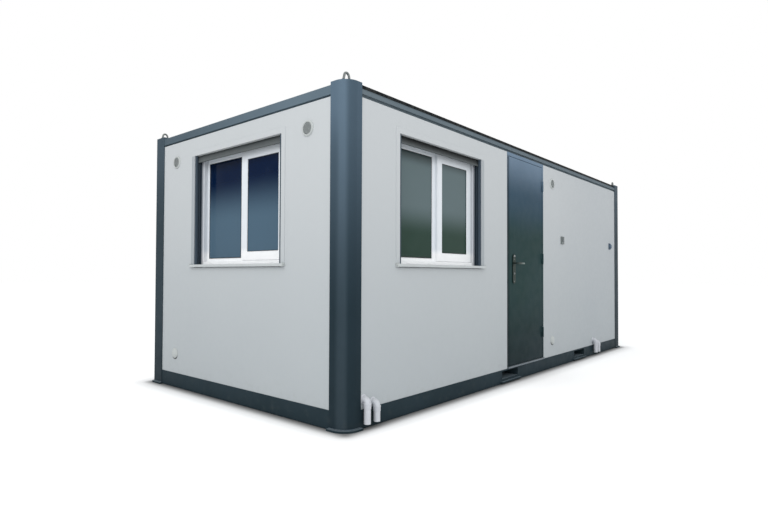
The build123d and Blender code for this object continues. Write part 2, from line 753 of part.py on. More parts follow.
# Lower vents: plain domed covers, one on the left end and one on the front
lower_vent_planes = (
    Plane(left_wall_plane.from_local_coords((-end_vent_from_middle, lower_vent_height, 0)),
          x_dir=left_wall_plane.x_dir, z_dir=left_wall_plane.z_dir),
    Plane(front_wall_plane.from_local_coords((front_vent_x, lower_vent_height, 0)),
          x_dir=front_wall_plane.x_dir, z_dir=front_wall_plane.z_dir),
)
with BuildPart() as lower_vents:
    for face in lower_vent_planes:
        with BuildSketch(face):
            Circle(cover_radius)
        extrude(amount=cover_thickness, taper=cover_slope)
save(lower_vents.part, "lower_vents")


# Drain outlets: elbows out of the wall, each with a socket and a plain pipe that ends above the ground
with BuildPart() as drain_outlets:
    for pair_x in drain_pairs:
        for side, height in zip((-1, 1), drain_heights):
            start = front_wall_plane.from_local_coords((pair_x + side * drain_spacing / 2, height, 0))
            side_view = Plane(start, x_dir=(0, -1, 0), z_dir=(-1, 0, 0))
            reach = wall_set_back + drain_stand_off
            with BuildLine(side_view) as route:
                Polyline((0, 0), (reach - drain_mitre, 0), (reach, -drain_mitre),
                         (reach, drain_bottom - height))
            with BuildSketch(Plane(start, x_dir=(1, 0, 0), z_dir=(0, -1, 0))):
                Circle(drain_radius)
            sweep(path=route.line, transition=Transition.RIGHT)
            drop = Plane(side_view.from_local_coords((reach, -drain_mitre - drain_radius / 2, 0)),
                         x_dir=(1, 0, 0), z_dir=(0, 0, -1))
            with BuildSketch(drop):
                Circle(drain_socket_radius)
            extrude(amount=drain_socket_length)
            with BuildSketch(drop):
                Circle(drain_bore_radius)
            extrude(amount=height, mode=Mode.SUBTRACT)
save(drain_outlets.part, "drain_outlets")

# Light fitting: a small square box on the front wall
with BuildPart() as light_box:
    with BuildSketch(front_wall_plane):
        with Locations((light_box_x, fitting_height)):
            Rectangle(light_box_width, light_box_height)
    extrude(amount=light_box_depth)
    chamfer(light_box.faces().sort_by(Axis.Y)[0].edges(), light_box_chamfer)
save(light_box.part, "light_box")

# Power inlet: a flange with a round hinged cap, closed
with BuildPart() as power_inlet:
    with BuildSketch(front_wall_plane):
        with Locations((inlet_x, fitting_height)):
            Rectangle(inlet_width, inlet_flange_height)
    extrude(amount=inlet_flange_thickness)
    with BuildSketch(front_wall_plane.offset(inlet_flange_thickness)):
        with Locations((inlet_x, fitting_height)):
            Circle(inlet_cap_radius)
    extrude(amount=inlet_cap_length)
    chamfer(power_inlet.faces().sort_by(Axis.Y)[0].edges(), inlet_cap_chamfer)
save(power_inlet.part, "power_inlet")
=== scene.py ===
"""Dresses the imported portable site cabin: its finishes, its small fittings, the light and the camera.

Metres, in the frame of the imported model: +X along the front, +Y towards the rear, +Z up from the ground.
Sizes of fittings are written in millimetres and turned to metres where a mesh is made.
"""

import logging
import math
from contextlib import contextmanager
from dataclasses import dataclass
from enum import Enum
from typing import Any, Iterable, Iterator, Sequence

import bmesh
import bpy
from mathutils import Matrix, Vector


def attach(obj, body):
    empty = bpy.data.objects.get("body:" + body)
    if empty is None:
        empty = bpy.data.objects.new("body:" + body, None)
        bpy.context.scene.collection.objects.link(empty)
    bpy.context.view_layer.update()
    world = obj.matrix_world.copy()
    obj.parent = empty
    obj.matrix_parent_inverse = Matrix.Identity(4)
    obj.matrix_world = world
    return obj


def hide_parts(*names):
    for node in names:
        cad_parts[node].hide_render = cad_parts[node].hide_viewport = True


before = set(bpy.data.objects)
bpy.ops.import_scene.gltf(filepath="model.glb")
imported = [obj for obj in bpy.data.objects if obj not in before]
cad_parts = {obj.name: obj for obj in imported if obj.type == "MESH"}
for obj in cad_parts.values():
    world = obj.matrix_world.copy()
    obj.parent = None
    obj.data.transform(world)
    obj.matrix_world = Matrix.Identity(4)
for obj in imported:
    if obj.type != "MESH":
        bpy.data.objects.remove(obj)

LOG = logging.getLogger("cabin")
Triple = tuple[float, float, float]
Pair = tuple[float, float]
Inputs = dict[str | int, Any]
MM = 0.001
FULL_TURN = 2 * math.pi
MERGE_DISTANCE = 0.01 * MM
SHARP_ANGLE = math.radians(38)

# Upward share of a face's normal at which dust starts to settle, and at which it lies in full
LEDGE_START, LEDGE_FULL = 0.3, 0.9

# Sockets of the colour Mix node, which carry the same names for each data type
MIX_FACTOR, MIX_BELOW, MIX_ABOVE, MIX_RESULT = 0, 6, 7, 2


def linear(code: str) -> tuple[float, ...]:
    """Turns an sRGB hex value into a linear colour.

    Args:
        code: Six hex digits, such as "c9cccd".

    Returns:
        Red, green and blue as linear values, and a full alpha.
    """
    channels = [int(code[start:start + 2], 16) / 255 for start in (0, 2, 4)]
    red, green, blue = (c / 12.92 if c <= 0.04045 else ((c + 0.055) / 1.055) ** 2.4 for c in channels)
    return red, green, blue, 1.0


def add_node(tree: bpy.types.NodeTree, kind: str, settings: dict[str, Any] | None = None,
             inputs: Inputs | None = None) -> bpy.types.Node:
    """Adds one node with its settings and its links.

    Args:
        tree: Node tree that gets the node.
        kind: Blender's name for the node.
        settings: Values for the node's own properties.
        inputs: For each input socket, by name or number, a value or the output socket that feeds it.

    Returns:
        The new node.
    """
    node = tree.nodes.new(kind)
    for name, value in (settings or {}).items():
        setattr(node, name, value)
    for name, value in (inputs or {}).items():
        if isinstance(value, bpy.types.NodeSocket):
            tree.links.new(value, node.inputs[name])
        else:
            node.inputs[name].default_value = value
    return node


class Grain(Enum):
    """The kinds of pattern that a layer of a finish can follow."""

    CLOUD = "ShaderNodeTexNoise"
    CELL = "ShaderNodeTexVoronoi"


class Axis(Enum):
    """The axis along which a layer of a finish comes in."""

    X = "X"
    Y = "Y"
    Z = "Z"


@dataclass(frozen=True)
class Pattern:
    """A pattern at a real size.

    Attributes:
        size: Width of a patch or a cell in millimetres.
        grain: Kind of pattern.
        stretch: How many times longer the pattern runs along X, Y and Z.
        detail: Octaves of finer clouding.
        low: Pattern value at which the layer starts to show.
        high: Pattern value from which the layer shows in full.
    """

    size: float
    grain: Grain = Grain.CLOUD
    stretch: Triple = (1, 1, 1)
    detail: float = 3
    low: float = 0.35
    high: float = 0.65


@dataclass(frozen=True)
class Zone:
    """A stretch of the object over which a layer comes in.

    Attributes:
        start: Place in millimetres where the layer isn't there yet.
        end: Place in millimetres where it is there in full.
        axis: Axis along which the two places lie.
    """

    start: float
    end: float
    axis: Axis = Axis.Z


class Coat:
    """A material that is laid up layer on layer, in object coordinates."""

    def __init__(self, name: str, colour: str, roughness: float) -> None:
        """Starts the material from one colour and one roughness.

        Args:
            name: Name of the material.
            colour: Ground colour as an sRGB hex value.
            roughness: Roughness of the ground.
        """
        self.material = bpy.data.materials.new(name)
        self.material.use_nodes = True
        self.tree = self.material.node_tree
        self.tree.nodes.clear()
        self.place = add_node(self.tree, "ShaderNodeTexCoord").outputs["Object"]
        self.colour: Any = linear(colour)
        self.roughness: Any = roughness
        self.normal: Any = None

    def mask(self, pattern: Pattern, strength: float = 1.0) -> bpy.types.NodeSocket:
        """Makes a factor that follows a pattern.

        Args:
            pattern: Pattern to follow.
            strength: Highest value of the factor.

        Returns:
            Socket with the factor.
        """
        stretched = add_node(self.tree, "ShaderNodeMapping", inputs={
            "Vector": self.place, "Scale": tuple(1 / part for part in pattern.stretch)})
        inputs: Inputs = {"Vector": stretched.outputs[0], "Scale": 1 / (pattern.size * MM)}
        if pattern.grain is Grain.CLOUD:
            inputs["Detail"] = pattern.detail
        texture = add_node(self.tree, pattern.grain.value, inputs=inputs)
        value = texture.outputs["Color" if pattern.grain is Grain.CELL else "Fac"]
        return add_node(self.tree, "ShaderNodeMapRange", {"interpolation_type": "SMOOTHSTEP"}, {
            "Value": value, "From Min": pattern.low, "From Max": pattern.high,
            "To Min": 0.0, "To Max": strength}).outputs[0]

    def along(self, zone: Zone, strength: float = 1.0) -> bpy.types.NodeSocket:
        """Makes a factor that rises along a zone.

        Args:
            zone: Zone to follow.
            strength: Highest value of the factor.

        Returns:
            Socket with the factor.
        """
        parts = add_node(self.tree, "ShaderNodeSeparateXYZ", inputs={0: self.place})
        return add_node(self.tree, "ShaderNodeMapRange", {"interpolation_type": "SMOOTHSTEP"}, {
            "Value": parts.outputs[zone.axis.value], "From Min": zone.start * MM,
            "From Max": zone.end * MM, "To Min": 0.0, "To Max": strength}).outputs[0]

    def tint(self, colour: str, factor: bpy.types.NodeSocket,
             zone: bpy.types.NodeSocket | None = None) -> None:
        """Lays another colour over the one below.

        Args:
            colour: Colour of the layer as an sRGB hex value.
            factor: How much of it shows.
            zone: Second factor, where the layer is kept to a zone.
        """
        if zone is not None:
            factor = add_node(self.tree, "ShaderNodeMath", {"operation": "MULTIPLY"},
                              {0: factor, 1: zone}).outputs[0]
        self.colour = add_node(self.tree, "ShaderNodeMix", {"data_type": "RGBA"}, {
            MIX_FACTOR: factor, MIX_BELOW: self.colour, MIX_ABOVE: linear(colour)}).outputs[MIX_RESULT]

    def on_top(self, strength: float) -> bpy.types.NodeSocket:
        """Makes a factor for faces that look up, where dust settles.

        Args:
            strength: Highest value of the factor.

        Returns:
            Socket with the factor.
        """
        facing = add_node(self.tree, "ShaderNodeNewGeometry").outputs["Normal"]
        parts = add_node(self.tree, "ShaderNodeSeparateXYZ", inputs={0: facing})
        return add_node(self.tree, "ShaderNodeMapRange", inputs={
            "Value": parts.outputs["Z"], "From Min": LEDGE_START, "From Max": LEDGE_FULL,
            "To Min": 0.0, "To Max": strength}).outputs[0]

    def facing(self, direction: Triple, start: float, strength: float) -> bpy.types.NodeSocket:
        """Makes a factor for faces that look one way.

        Args:
            direction: Direction that they look in, of length 1.
            start: Cosine of the angle at which the factor starts.
            strength: Highest value of the factor.

        Returns:
            Socket with the factor.
        """
        looks = add_node(self.tree, "ShaderNodeNewGeometry").outputs["Normal"]
        along = add_node(self.tree, "ShaderNodeVectorMath", {"operation": "DOT_PRODUCT"},
                         {0: looks, 1: direction}).outputs["Value"]
        return add_node(self.tree, "ShaderNodeMapRange", {"interpolation_type": "SMOOTHSTEP"}, {
            "Value": along, "From Min": start, "From Max": 1.0,
            "To Min": 0.0, "To Max": strength}).outputs[0]

    def relief(self, pattern: Pattern, depth: float) -> None:
        """Raises and lowers the surface along a pattern.

        Args:
            pattern: Pattern to follow.
            depth: Height from the lowest to the highest point in millimetres.
        """
        inputs: Inputs = {
            "Strength": 1.0, "Distance": depth * MM, "Height": self.mask(pattern)}
        if self.normal is not None:
            inputs["Normal"] = self.normal
        self.normal = add_node(self.tree, "ShaderNodeBump", inputs=inputs).outputs[0]

    def wear(self, pattern: Pattern, roughness: float) -> None:
        """Changes the gloss along a pattern.

        Args:
            pattern: Pattern to follow.
            roughness: Roughness where the pattern shows in full.
        """
        below: Inputs = {0: self.mask(pattern), 2: self.roughness, 3: roughness}
        self.roughness = add_node(self.tree, "ShaderNodeMix", {"data_type": "FLOAT"}, below).outputs[0]

    def close(self, metallic: float, specular: float, clear: float = 0.0) -> bpy.types.Material:
        """Ends the material with its shader.

        Args:
            metallic: Metallic share, 0 or 1.
            specular: Specular level at the sockets' own scale, 0.5 for the IOR as it is.
            clear: Share that is seen through.

        Returns:
            The finished material.
        """
        inputs: Inputs = {"Base Color": self.colour, "Roughness": self.roughness,
                          "Metallic": metallic, "Specular IOR Level": specular}
        if self.normal is not None:
            inputs["Normal"] = self.normal
        shader = add_node(self.tree, "ShaderNodeBsdfPrincipled", inputs=inputs).outputs[0]
        if clear:
            open_share = add_node(self.tree, "ShaderNodeBsdfTransparent").outputs[0]
            shader = add_node(self.tree, "ShaderNodeMixShader",
                              inputs={0: clear, 1: shader, 2: open_share}).outputs[0]
        add_node(self.tree, "ShaderNodeOutputMaterial", inputs={"Surface": shader})
        return self.material


@dataclass(frozen=True)
class Finish:
    """A finish of the cabin: what its ground is, and the layers that a kind of finish adds.

    Attributes:
        name: Name of the material.
        colour: Ground colour as an sRGB hex value.
        roughness: Roughness of the ground.
        specular: Specular level.
        metallic: Metallic share.
    """

    name: str
    colour: str
    roughness: float = 0.5
    specular: float = 0.5
    metallic: float = 0.0

    def lay(self, coat: Coat) -> None:
        """Lays the layers of this kind of finish."""

    def make(self) -> bpy.types.Material:
        """Makes the material."""
        coat = Coat(self.name, self.colour, self.roughness)
        self.lay(coat)
        return coat.close(self.metallic, self.specular)


@dataclass(frozen=True)
class CoilCoatedSteel(Finish):
    """Light grey coil-coated steel facing of the wall panels, rolled flat at the mill.

    The eye gets a calm, nearly matt sheet with painted shade that makes it a shade cooler and darker towards
    the ground, and a little more so along the far half of the long walls.
    """

    colour: str = "c4c8ca"
    roughness: float = 0.5
    specular: float = 0.2
    low_colour: str = "b2b8bb"
    far_shade_colour: str = "a0a9b1"
    fall: Zone = Zone(2350, 150)
    far_half: Zone = Zone(200, 1800, Axis.X)
    splashed: Zone = Zone(300, 130)

    def lay(self, coat: Coat) -> None:
        """Lays the painted shade, the faint runs of rain, the dust at the foot and the rolled texture."""
        # Painted shade: darker towards the ground, and cooler along the far half of the long walls
        coat.tint(self.low_colour, coat.along(self.fall))
        coat.tint(self.far_shade_colour, coat.along(self.far_half, 0.22))
        coat.tint("bcc1c2", coat.mask(Pattern(size=900, detail=3), 0.16))
        coat.tint("aaafb0", coat.mask(Pattern(size=26, stretch=(1, 1, 34), low=0.6, high=0.85), 0.1))
        coat.tint("9b9e9c", coat.mask(Pattern(size=60, detail=6, low=0.45, high=0.8), 0.25),
                  coat.along(self.splashed))
        # Rolled coating: the real pebble is under 1 mm, drawn at 5 mm so that it shows at all
        coat.relief(Pattern(size=5, detail=2), 0.05)
        # The flat facings dish and bulge a little between the rails
        coat.relief(Pattern(size=700, detail=1, low=0.2, high=0.8), 1.6)
        coat.wear(Pattern(size=45, detail=5), self.roughness + 0.14)


@dataclass(frozen=True)
class FrameEnamel(Finish):
    """Sprayed satin enamel on the steel frame.

    The eye gets a dark blue-grey with painted sky sheen that pales it towards the top and painted shade
    that deepens its foot, with a little dust on its ledges and foot.
    """

    colour: str = "2b3a43"
    roughness: float = 0.42
    specular: float = 0.035
    low_colour: str = "27343a"
    high_colour: str = "607384"
    foot: Zone = Zone(1100, 100)
    pale: Zone = Zone(800, 2500)
    deep: Zone | None = None
    splashed: Zone = Zone(220, 20)
    chipped: Zone = Zone(180, 30)

    def lay(self, coat: Coat) -> None:
        """Lays the painted shade of the foot, the painted sheen of the top, dust on ledges, small chips and
        orange peel.
        """
        # Painted shade deepens the foot and painted sky sheen pales the top
        coat.tint(self.low_colour, coat.along(self.foot))
        coat.tint(self.high_colour, coat.along(self.pale))
        # Painted shade that deepens a rail towards one end
        if self.deep is not None:
            coat.tint(self.low_colour, coat.along(self.deep, 0.42))
        coat.tint("3b4a55", coat.mask(Pattern(size=420, detail=4), 0.12))
        coat.tint("6f7c84", coat.mask(Pattern(size=18, stretch=(1, 1, 40), low=0.62, high=0.85), 0.06))
        coat.tint("7d8a92", coat.on_top(0.5))
        coat.tint("5a5e5b", coat.mask(Pattern(size=70, detail=7, low=0.5, high=0.85), 0.2),
                  coat.along(self.splashed))
        chips = coat.mask(Pattern(size=12, detail=6, low=0.74, high=0.77))
        coat.tint("5d3f2d", chips, coat.along(self.chipped))
        # Orange peel of a sprayed coat: about 3 mm across
        coat.relief(Pattern(size=3, detail=1), 0.04)
        coat.relief(Pattern(size=160, detail=2, low=0.2, high=0.8), 0.3)
        coat.wear(Pattern(size=90, detail=4), self.roughness + 0.1)


@dataclass(frozen=True)
class PostEnamel(FrameEnamel):
    """Frame enamel on the broad round of the front left post, with painted light across the round.

    The eye gets a painted highlight and a painted shade beside each other, which show how round the post is.
    """

    colour: str = "26343c"
    low_colour: str = "232f35"
    high_colour: str = "5d7080"
    painted_shade_tone: str = "1f2c33"
    painted_highlight_tone: str = "8494a0"
    towards_front: Triple = (-0.326, -0.945, 0)
    towards_round: Triple = (-0.875, -0.485, 0)
    towards_end: Triple = (-1, 0, 0)
    below_cap: Zone = Zone(2300, 1900)

    def lay(self, coat: Coat) -> None:
        """Lays the enamel, then its painted highlight and painted shade."""
        super().lay(coat)
        # Painted shade on faces towards the front and the end, and a painted highlight on the round
        coat.tint(self.painted_shade_tone, coat.facing(self.towards_front, 0.82, 0.42))
        coat.tint(self.painted_shade_tone, coat.facing(self.towards_end, 0.93, 0.3), coat.along(self.below_cap))
        coat.tint(self.painted_highlight_tone, coat.facing(self.towards_round, 0.88, 0.07))


@dataclass(frozen=True)
class LeafEnamel(FrameEnamel):
    """Gloss enamel on the door's steel leaf.

    The eye gets a deep green-grey with a painted sky reflection that turns it blue-grey towards the top.
    """

    colour: str = "243c3b"
    roughness: float = 0.35
    specular: float = 0.03
    low_colour: str = "162629"
    high_colour: str = "72869a"
    pale: Zone = Zone(1900, 2400)
    middle_reflection_colour: str = "3b5266"
    middle: Zone = Zone(1450, 1950)

    def lay(self, coat: Coat) -> None:
        """Lays the painted blue-grey reflection of the middle, then the layers of all enamel."""
        # Painted sky reflection: blue-grey across the middle of the leaf
        coat.tint(self.middle_reflection_colour, coat.along(self.middle, 0.75))
        super().lay(coat)


@dataclass(frozen=True)
class DoorFrameEnamel(LeafEnamel):
    """Gloss enamel on the door frame, with painted shade down the lock side.

    The eye gets a dark line of painted shade beside the leaf that sets it off from the wall.
    """

    lock_side_shade: str = "152024"
    shaded_stile: Zone = Zone(-586, -592, Axis.X)
    shaded_stile_top: Zone = Zone(2345, 2325)

    def lay(self, coat: Coat) -> None:
        """Lays the enamel, then the painted shade of the lock side."""
        super().lay(coat)
        # Painted shade: a dark line down the lock-side stile beside the leaf
        coat.tint(self.lock_side_shade, coat.along(self.shaded_stile, 0.55), coat.along(self.shaded_stile_top))


@dataclass(frozen=True)
class FlangeCoat(CoilCoatedSteel):
    """Light grey coat on a window's flange, with a strip of painted shade beside the shutter guide.

    The eye gets a greyer upright strip beside the shutter guide.
    """

    roughness: float = 0.45
    # Painted shade: the greyer upright strip beside the shutter guide, kept below the head
    dust: str = "8b949a"
    guide_shade_strip: Zone = Zone(0, 1)
    below_head: Zone = Zone(2206, 2188)

    def lay(self, coat: Coat) -> None:
        """Lays the coat of the walls, then the strip of painted shade."""
        super().lay(coat)
        coat.tint(self.dust, coat.along(self.guide_shade_strip, 0.55), coat.along(self.below_head))


@dataclass(frozen=True)
class PowderCoat(Finish):
    """Powder coat baked on sheet metal or an extrusion.

    The eye gets one even colour with a fine pebble, greyed by dust on its ledges.
    """

    soiled_colour: str = "8a8d8c"
    soil: float = 0.12

    def lay(self, coat: Coat) -> None:
        """Lays a clouded soil film, dust on ledges, streaks and the pebble of the powder."""
        for pattern in (Pattern(size=110, detail=6),
                        Pattern(size=9, stretch=(1, 1, 26), low=0.58, high=0.8)):
            coat.tint(self.soiled_colour, coat.mask(pattern, self.soil))
        coat.tint("9a9c99", coat.on_top(0.1))
        coat.relief(Pattern(size=2.2, detail=1), 0.04)
        coat.wear(Pattern(size=30, detail=5), self.roughness + 0.15)


@dataclass(frozen=True)
class ShutterLacquer(PowderCoat):
    """Baked lacquer on roller shutter slats.

    The eye gets a matt grey slat that sinks into painted shade towards the roller's slot above it.
    """

    colour: str = "595e5f"
    specular: float = 0.15
    soiled_colour: str = "3f4445"
    slot_shade_colour: str = "0e1112"
    slot_shade_zone: Zone = Zone(2130, 2186)

    def lay(self, coat: Coat) -> None:
        """Lays the powder's layers, then the painted shade of the slot."""
        super().lay(coat)
        # Painted shade: the slats darken towards the roller's slot
        coat.tint(self.slot_shade_colour, coat.along(self.slot_shade_zone, 0.97))


@dataclass(frozen=True)
class MouldedPlastic(Finish):
    """Moulded or extruded plastic that has stood outdoors.

    The eye gets a soft satin skin, a little uneven in tone, with dirt held in its fine texture.
    """

    soiled_colour: str = "a7a9a4"
    soil: float = 0.12

    def lay(self, coat: Coat) -> None:
        """Lays the weathered tone, dirt streaks, the fine skin of the mould and its uneven gloss."""
        for pattern in (Pattern(size=75, detail=6),
                        Pattern(size=7, stretch=(1, 1, 22), low=0.6, high=0.85)):
            coat.tint(self.soiled_colour, coat.mask(pattern, self.soil))
        coat.tint("8d8f89", coat.on_top(self.soil))
        coat.relief(Pattern(size=1.8, detail=2), 0.03)
        coat.relief(Pattern(size=60, detail=1), 0.15)
        coat.wear(Pattern(size=25, detail=4), self.roughness + 0.12)


@dataclass(frozen=True)
class WindowPlastic(MouldedPlastic):
    """White window plastic, whiter at its foot, with painted shade under the shutter.

    The eye gets a cool white that is brightest at the foot, and grey with painted shade at the head and
    beside the shutter guide.
    """

    colour: str = "e2e7ec"
    roughness: float = 0.35
    specular: float = 0.3
    soiled_colour: str = "c8cdd0"
    soil: float = 0.08
    foot_white: str = "fafbfc"
    whiter_foot: Zone = Zone(1330, 1270)
    head_shade_colour: str = "b3b9bd"
    shaded_head: Zone = Zone(2040, 2140)
    guide_shade_colour: str = "7c8088"
    dust_and_guide_shade: Zone | None = None

    def lay(self, coat: Coat) -> None:
        """Lays the whiter foot and the painted shade of the head, the layers of all plastic, then the painted
        shade of the jamb.
        """
        # Whiter towards the foot
        coat.tint(self.foot_white, coat.along(self.whiter_foot))
        # Painted shade: grey under the head
        coat.tint(self.head_shade_colour, coat.along(self.shaded_head, 0.4))
        super().lay(coat)
        if self.dust_and_guide_shade is not None:
            # Painted shade: grey on the jamb beside the shutter guide
            coat.tint(self.guide_shade_colour, coat.along(self.dust_and_guide_shade, 0.8))


@dataclass(frozen=True)
class ZincCoat(Finish):
    """Hot-dip zinc on steel.

    The eye gets grey crystals a few centimetres across, dulled by white bloom and yard dust.
    """

    crystal: float = 22
    bloom_colour: str = "a3a7a6"

    def lay(self, coat: Coat) -> None:
        """Lays the crystals, the bloom, dust on the flats and a slight unevenness."""
        crystals = Pattern(size=self.crystal, grain=Grain.CELL, low=0.2, high=0.9)
        coat.tint("6f777b", coat.mask(crystals, 0.45))
        coat.tint(self.bloom_colour, coat.mask(Pattern(size=130, detail=7, low=0.4, high=0.7), 0.6))
        coat.tint("807f76", coat.mask(Pattern(size=300, detail=7, low=0.5, high=0.8), 0.4),
                  coat.on_top(1.0))
        coat.relief(Pattern(size=self.crystal, grain=Grain.CELL, low=0.0, high=1.0), 0.03)
        coat.relief(Pattern(size=40, detail=3), 0.12)
        coat.wear(Pattern(size=self.crystal / 2, detail=5), self.roughness + 0.2)


@dataclass(frozen=True)
class BrushedMetal(Finish):
    """Rolled, anodised or polished metal with the marks of its grinding belt along one axis.

    The eye gets fine lines along the bar, scuffs across them, and darker handled or trodden patches.
    """

    line: float = 0.7
    stretch: Triple = (40, 1, 1)
    handled_colour: str = "4a4d4e"

    def lay(self, coat: Coat) -> None:
        """Lays the belt lines, the handled patches and short scuffs."""
        coat.tint(self.handled_colour, coat.mask(Pattern(size=35, detail=6, low=0.45, high=0.75), 0.35))
        coat.tint("b9bdbe", coat.mask(Pattern(size=4, detail=6, low=0.66, high=0.72), 0.35))
        coat.relief(Pattern(size=self.line, stretch=self.stretch, detail=2), 0.02)
        coat.wear(Pattern(size=self.line * 3, stretch=self.stretch, detail=4), self.roughness + 0.18)


@dataclass(frozen=True)
class LeverBar(BrushedMetal):
    """Polished round bar of the door's levers.

    The eye gets a bright tip that turns darker towards the neck.
    """

    neck_tone: str = "27312e"
    darker_neck: Zone = Zone(-375, -455, Axis.X)

    def lay(self, coat: Coat) -> None:
        """Lays the metal's own layers, then the darker tone towards the neck."""
        super().lay(coat)
        coat.tint(self.neck_tone, coat.along(self.darker_neck, 0.85))


@dataclass(frozen=True)
class SealedGlass(Finish):
    """Float glass of an insulating unit in front of an unlit room.

    The eye gets a dark depth with a painted reflection that changes towards the foot, painted shade
    under the head, a clean reflection, and dust along the edge.
    """

    colour: str = "617174"
    roughness: float = 0.03
    specular: float = 0.1
    low_colour: str = "294137"
    change: Zone = Zone(1700, 1430)
    shade_colour: str = "2f3838"
    shaded: Zone = Zone(2010, 2110)
    dust_and_guide_shade: Zone = Zone(1275, 1240)
    clear: float = 0.05

    def make(self) -> bpy.types.Material:
        """Makes the material, part of which is seen through."""
        coat = Coat(self.name, self.colour, self.roughness)
        # Painted reflection that changes towards the foot, and painted shade under the head
        coat.tint(self.low_colour, coat.along(self.change))
        coat.tint(self.shade_colour, coat.along(self.shaded, 0.72))
        coat.tint("5d6668", coat.mask(Pattern(size=240, detail=5, low=0.45, high=0.9), 0.06))
        coat.tint("7a7d78", coat.mask(Pattern(size=30, detail=7, low=0.5, high=0.85), 0.2),
                  coat.along(self.dust_and_guide_shade))
        coat.relief(Pattern(size=320, detail=1), 0.08)
        coat.wear(Pattern(size=60, detail=6, low=0.5, high=0.8), self.roughness + 0.05)
        return coat.close(self.metallic, self.specular, clear=self.clear)


@dataclass(frozen=True)
class SheetVinyl(Finish):
    """Printed sheet vinyl on plywood, with fine flecks and scuffed walkways."""

    def lay(self, coat: Coat) -> None:
        """Lays the flecks, the scuffed dirt and the light emboss."""
        coat.tint("8c9093", coat.mask(Pattern(size=6, grain=Grain.CELL, low=0.6, high=0.62), 0.5))
        coat.tint("4f5356", coat.mask(Pattern(size=5, detail=2, low=0.6, high=0.64), 0.6))
        coat.tint("6d675d", coat.mask(Pattern(size=380, detail=7, low=0.45, high=0.75), 0.45))
        coat.relief(Pattern(size=2.5, detail=2), 0.08)
        coat.wear(Pattern(size=150, detail=6), self.roughness + 0.2)


@dataclass(frozen=True)
class BlackRubber(Finish):
    """Extruded black rubber of gaskets and seals, greyed where sun and dust reach it."""

    def lay(self, coat: Coat) -> None:
        """Lays the bloom, dust and the fine extruded lines."""
        coat.tint("3b3d3c", coat.mask(Pattern(size=24, detail=6), 0.6))
        coat.tint("5b5c58", coat.on_top(0.4))
        coat.relief(Pattern(size=1.5, detail=3), 0.05)
        coat.wear(Pattern(size=12, detail=4), self.roughness + 0.15)


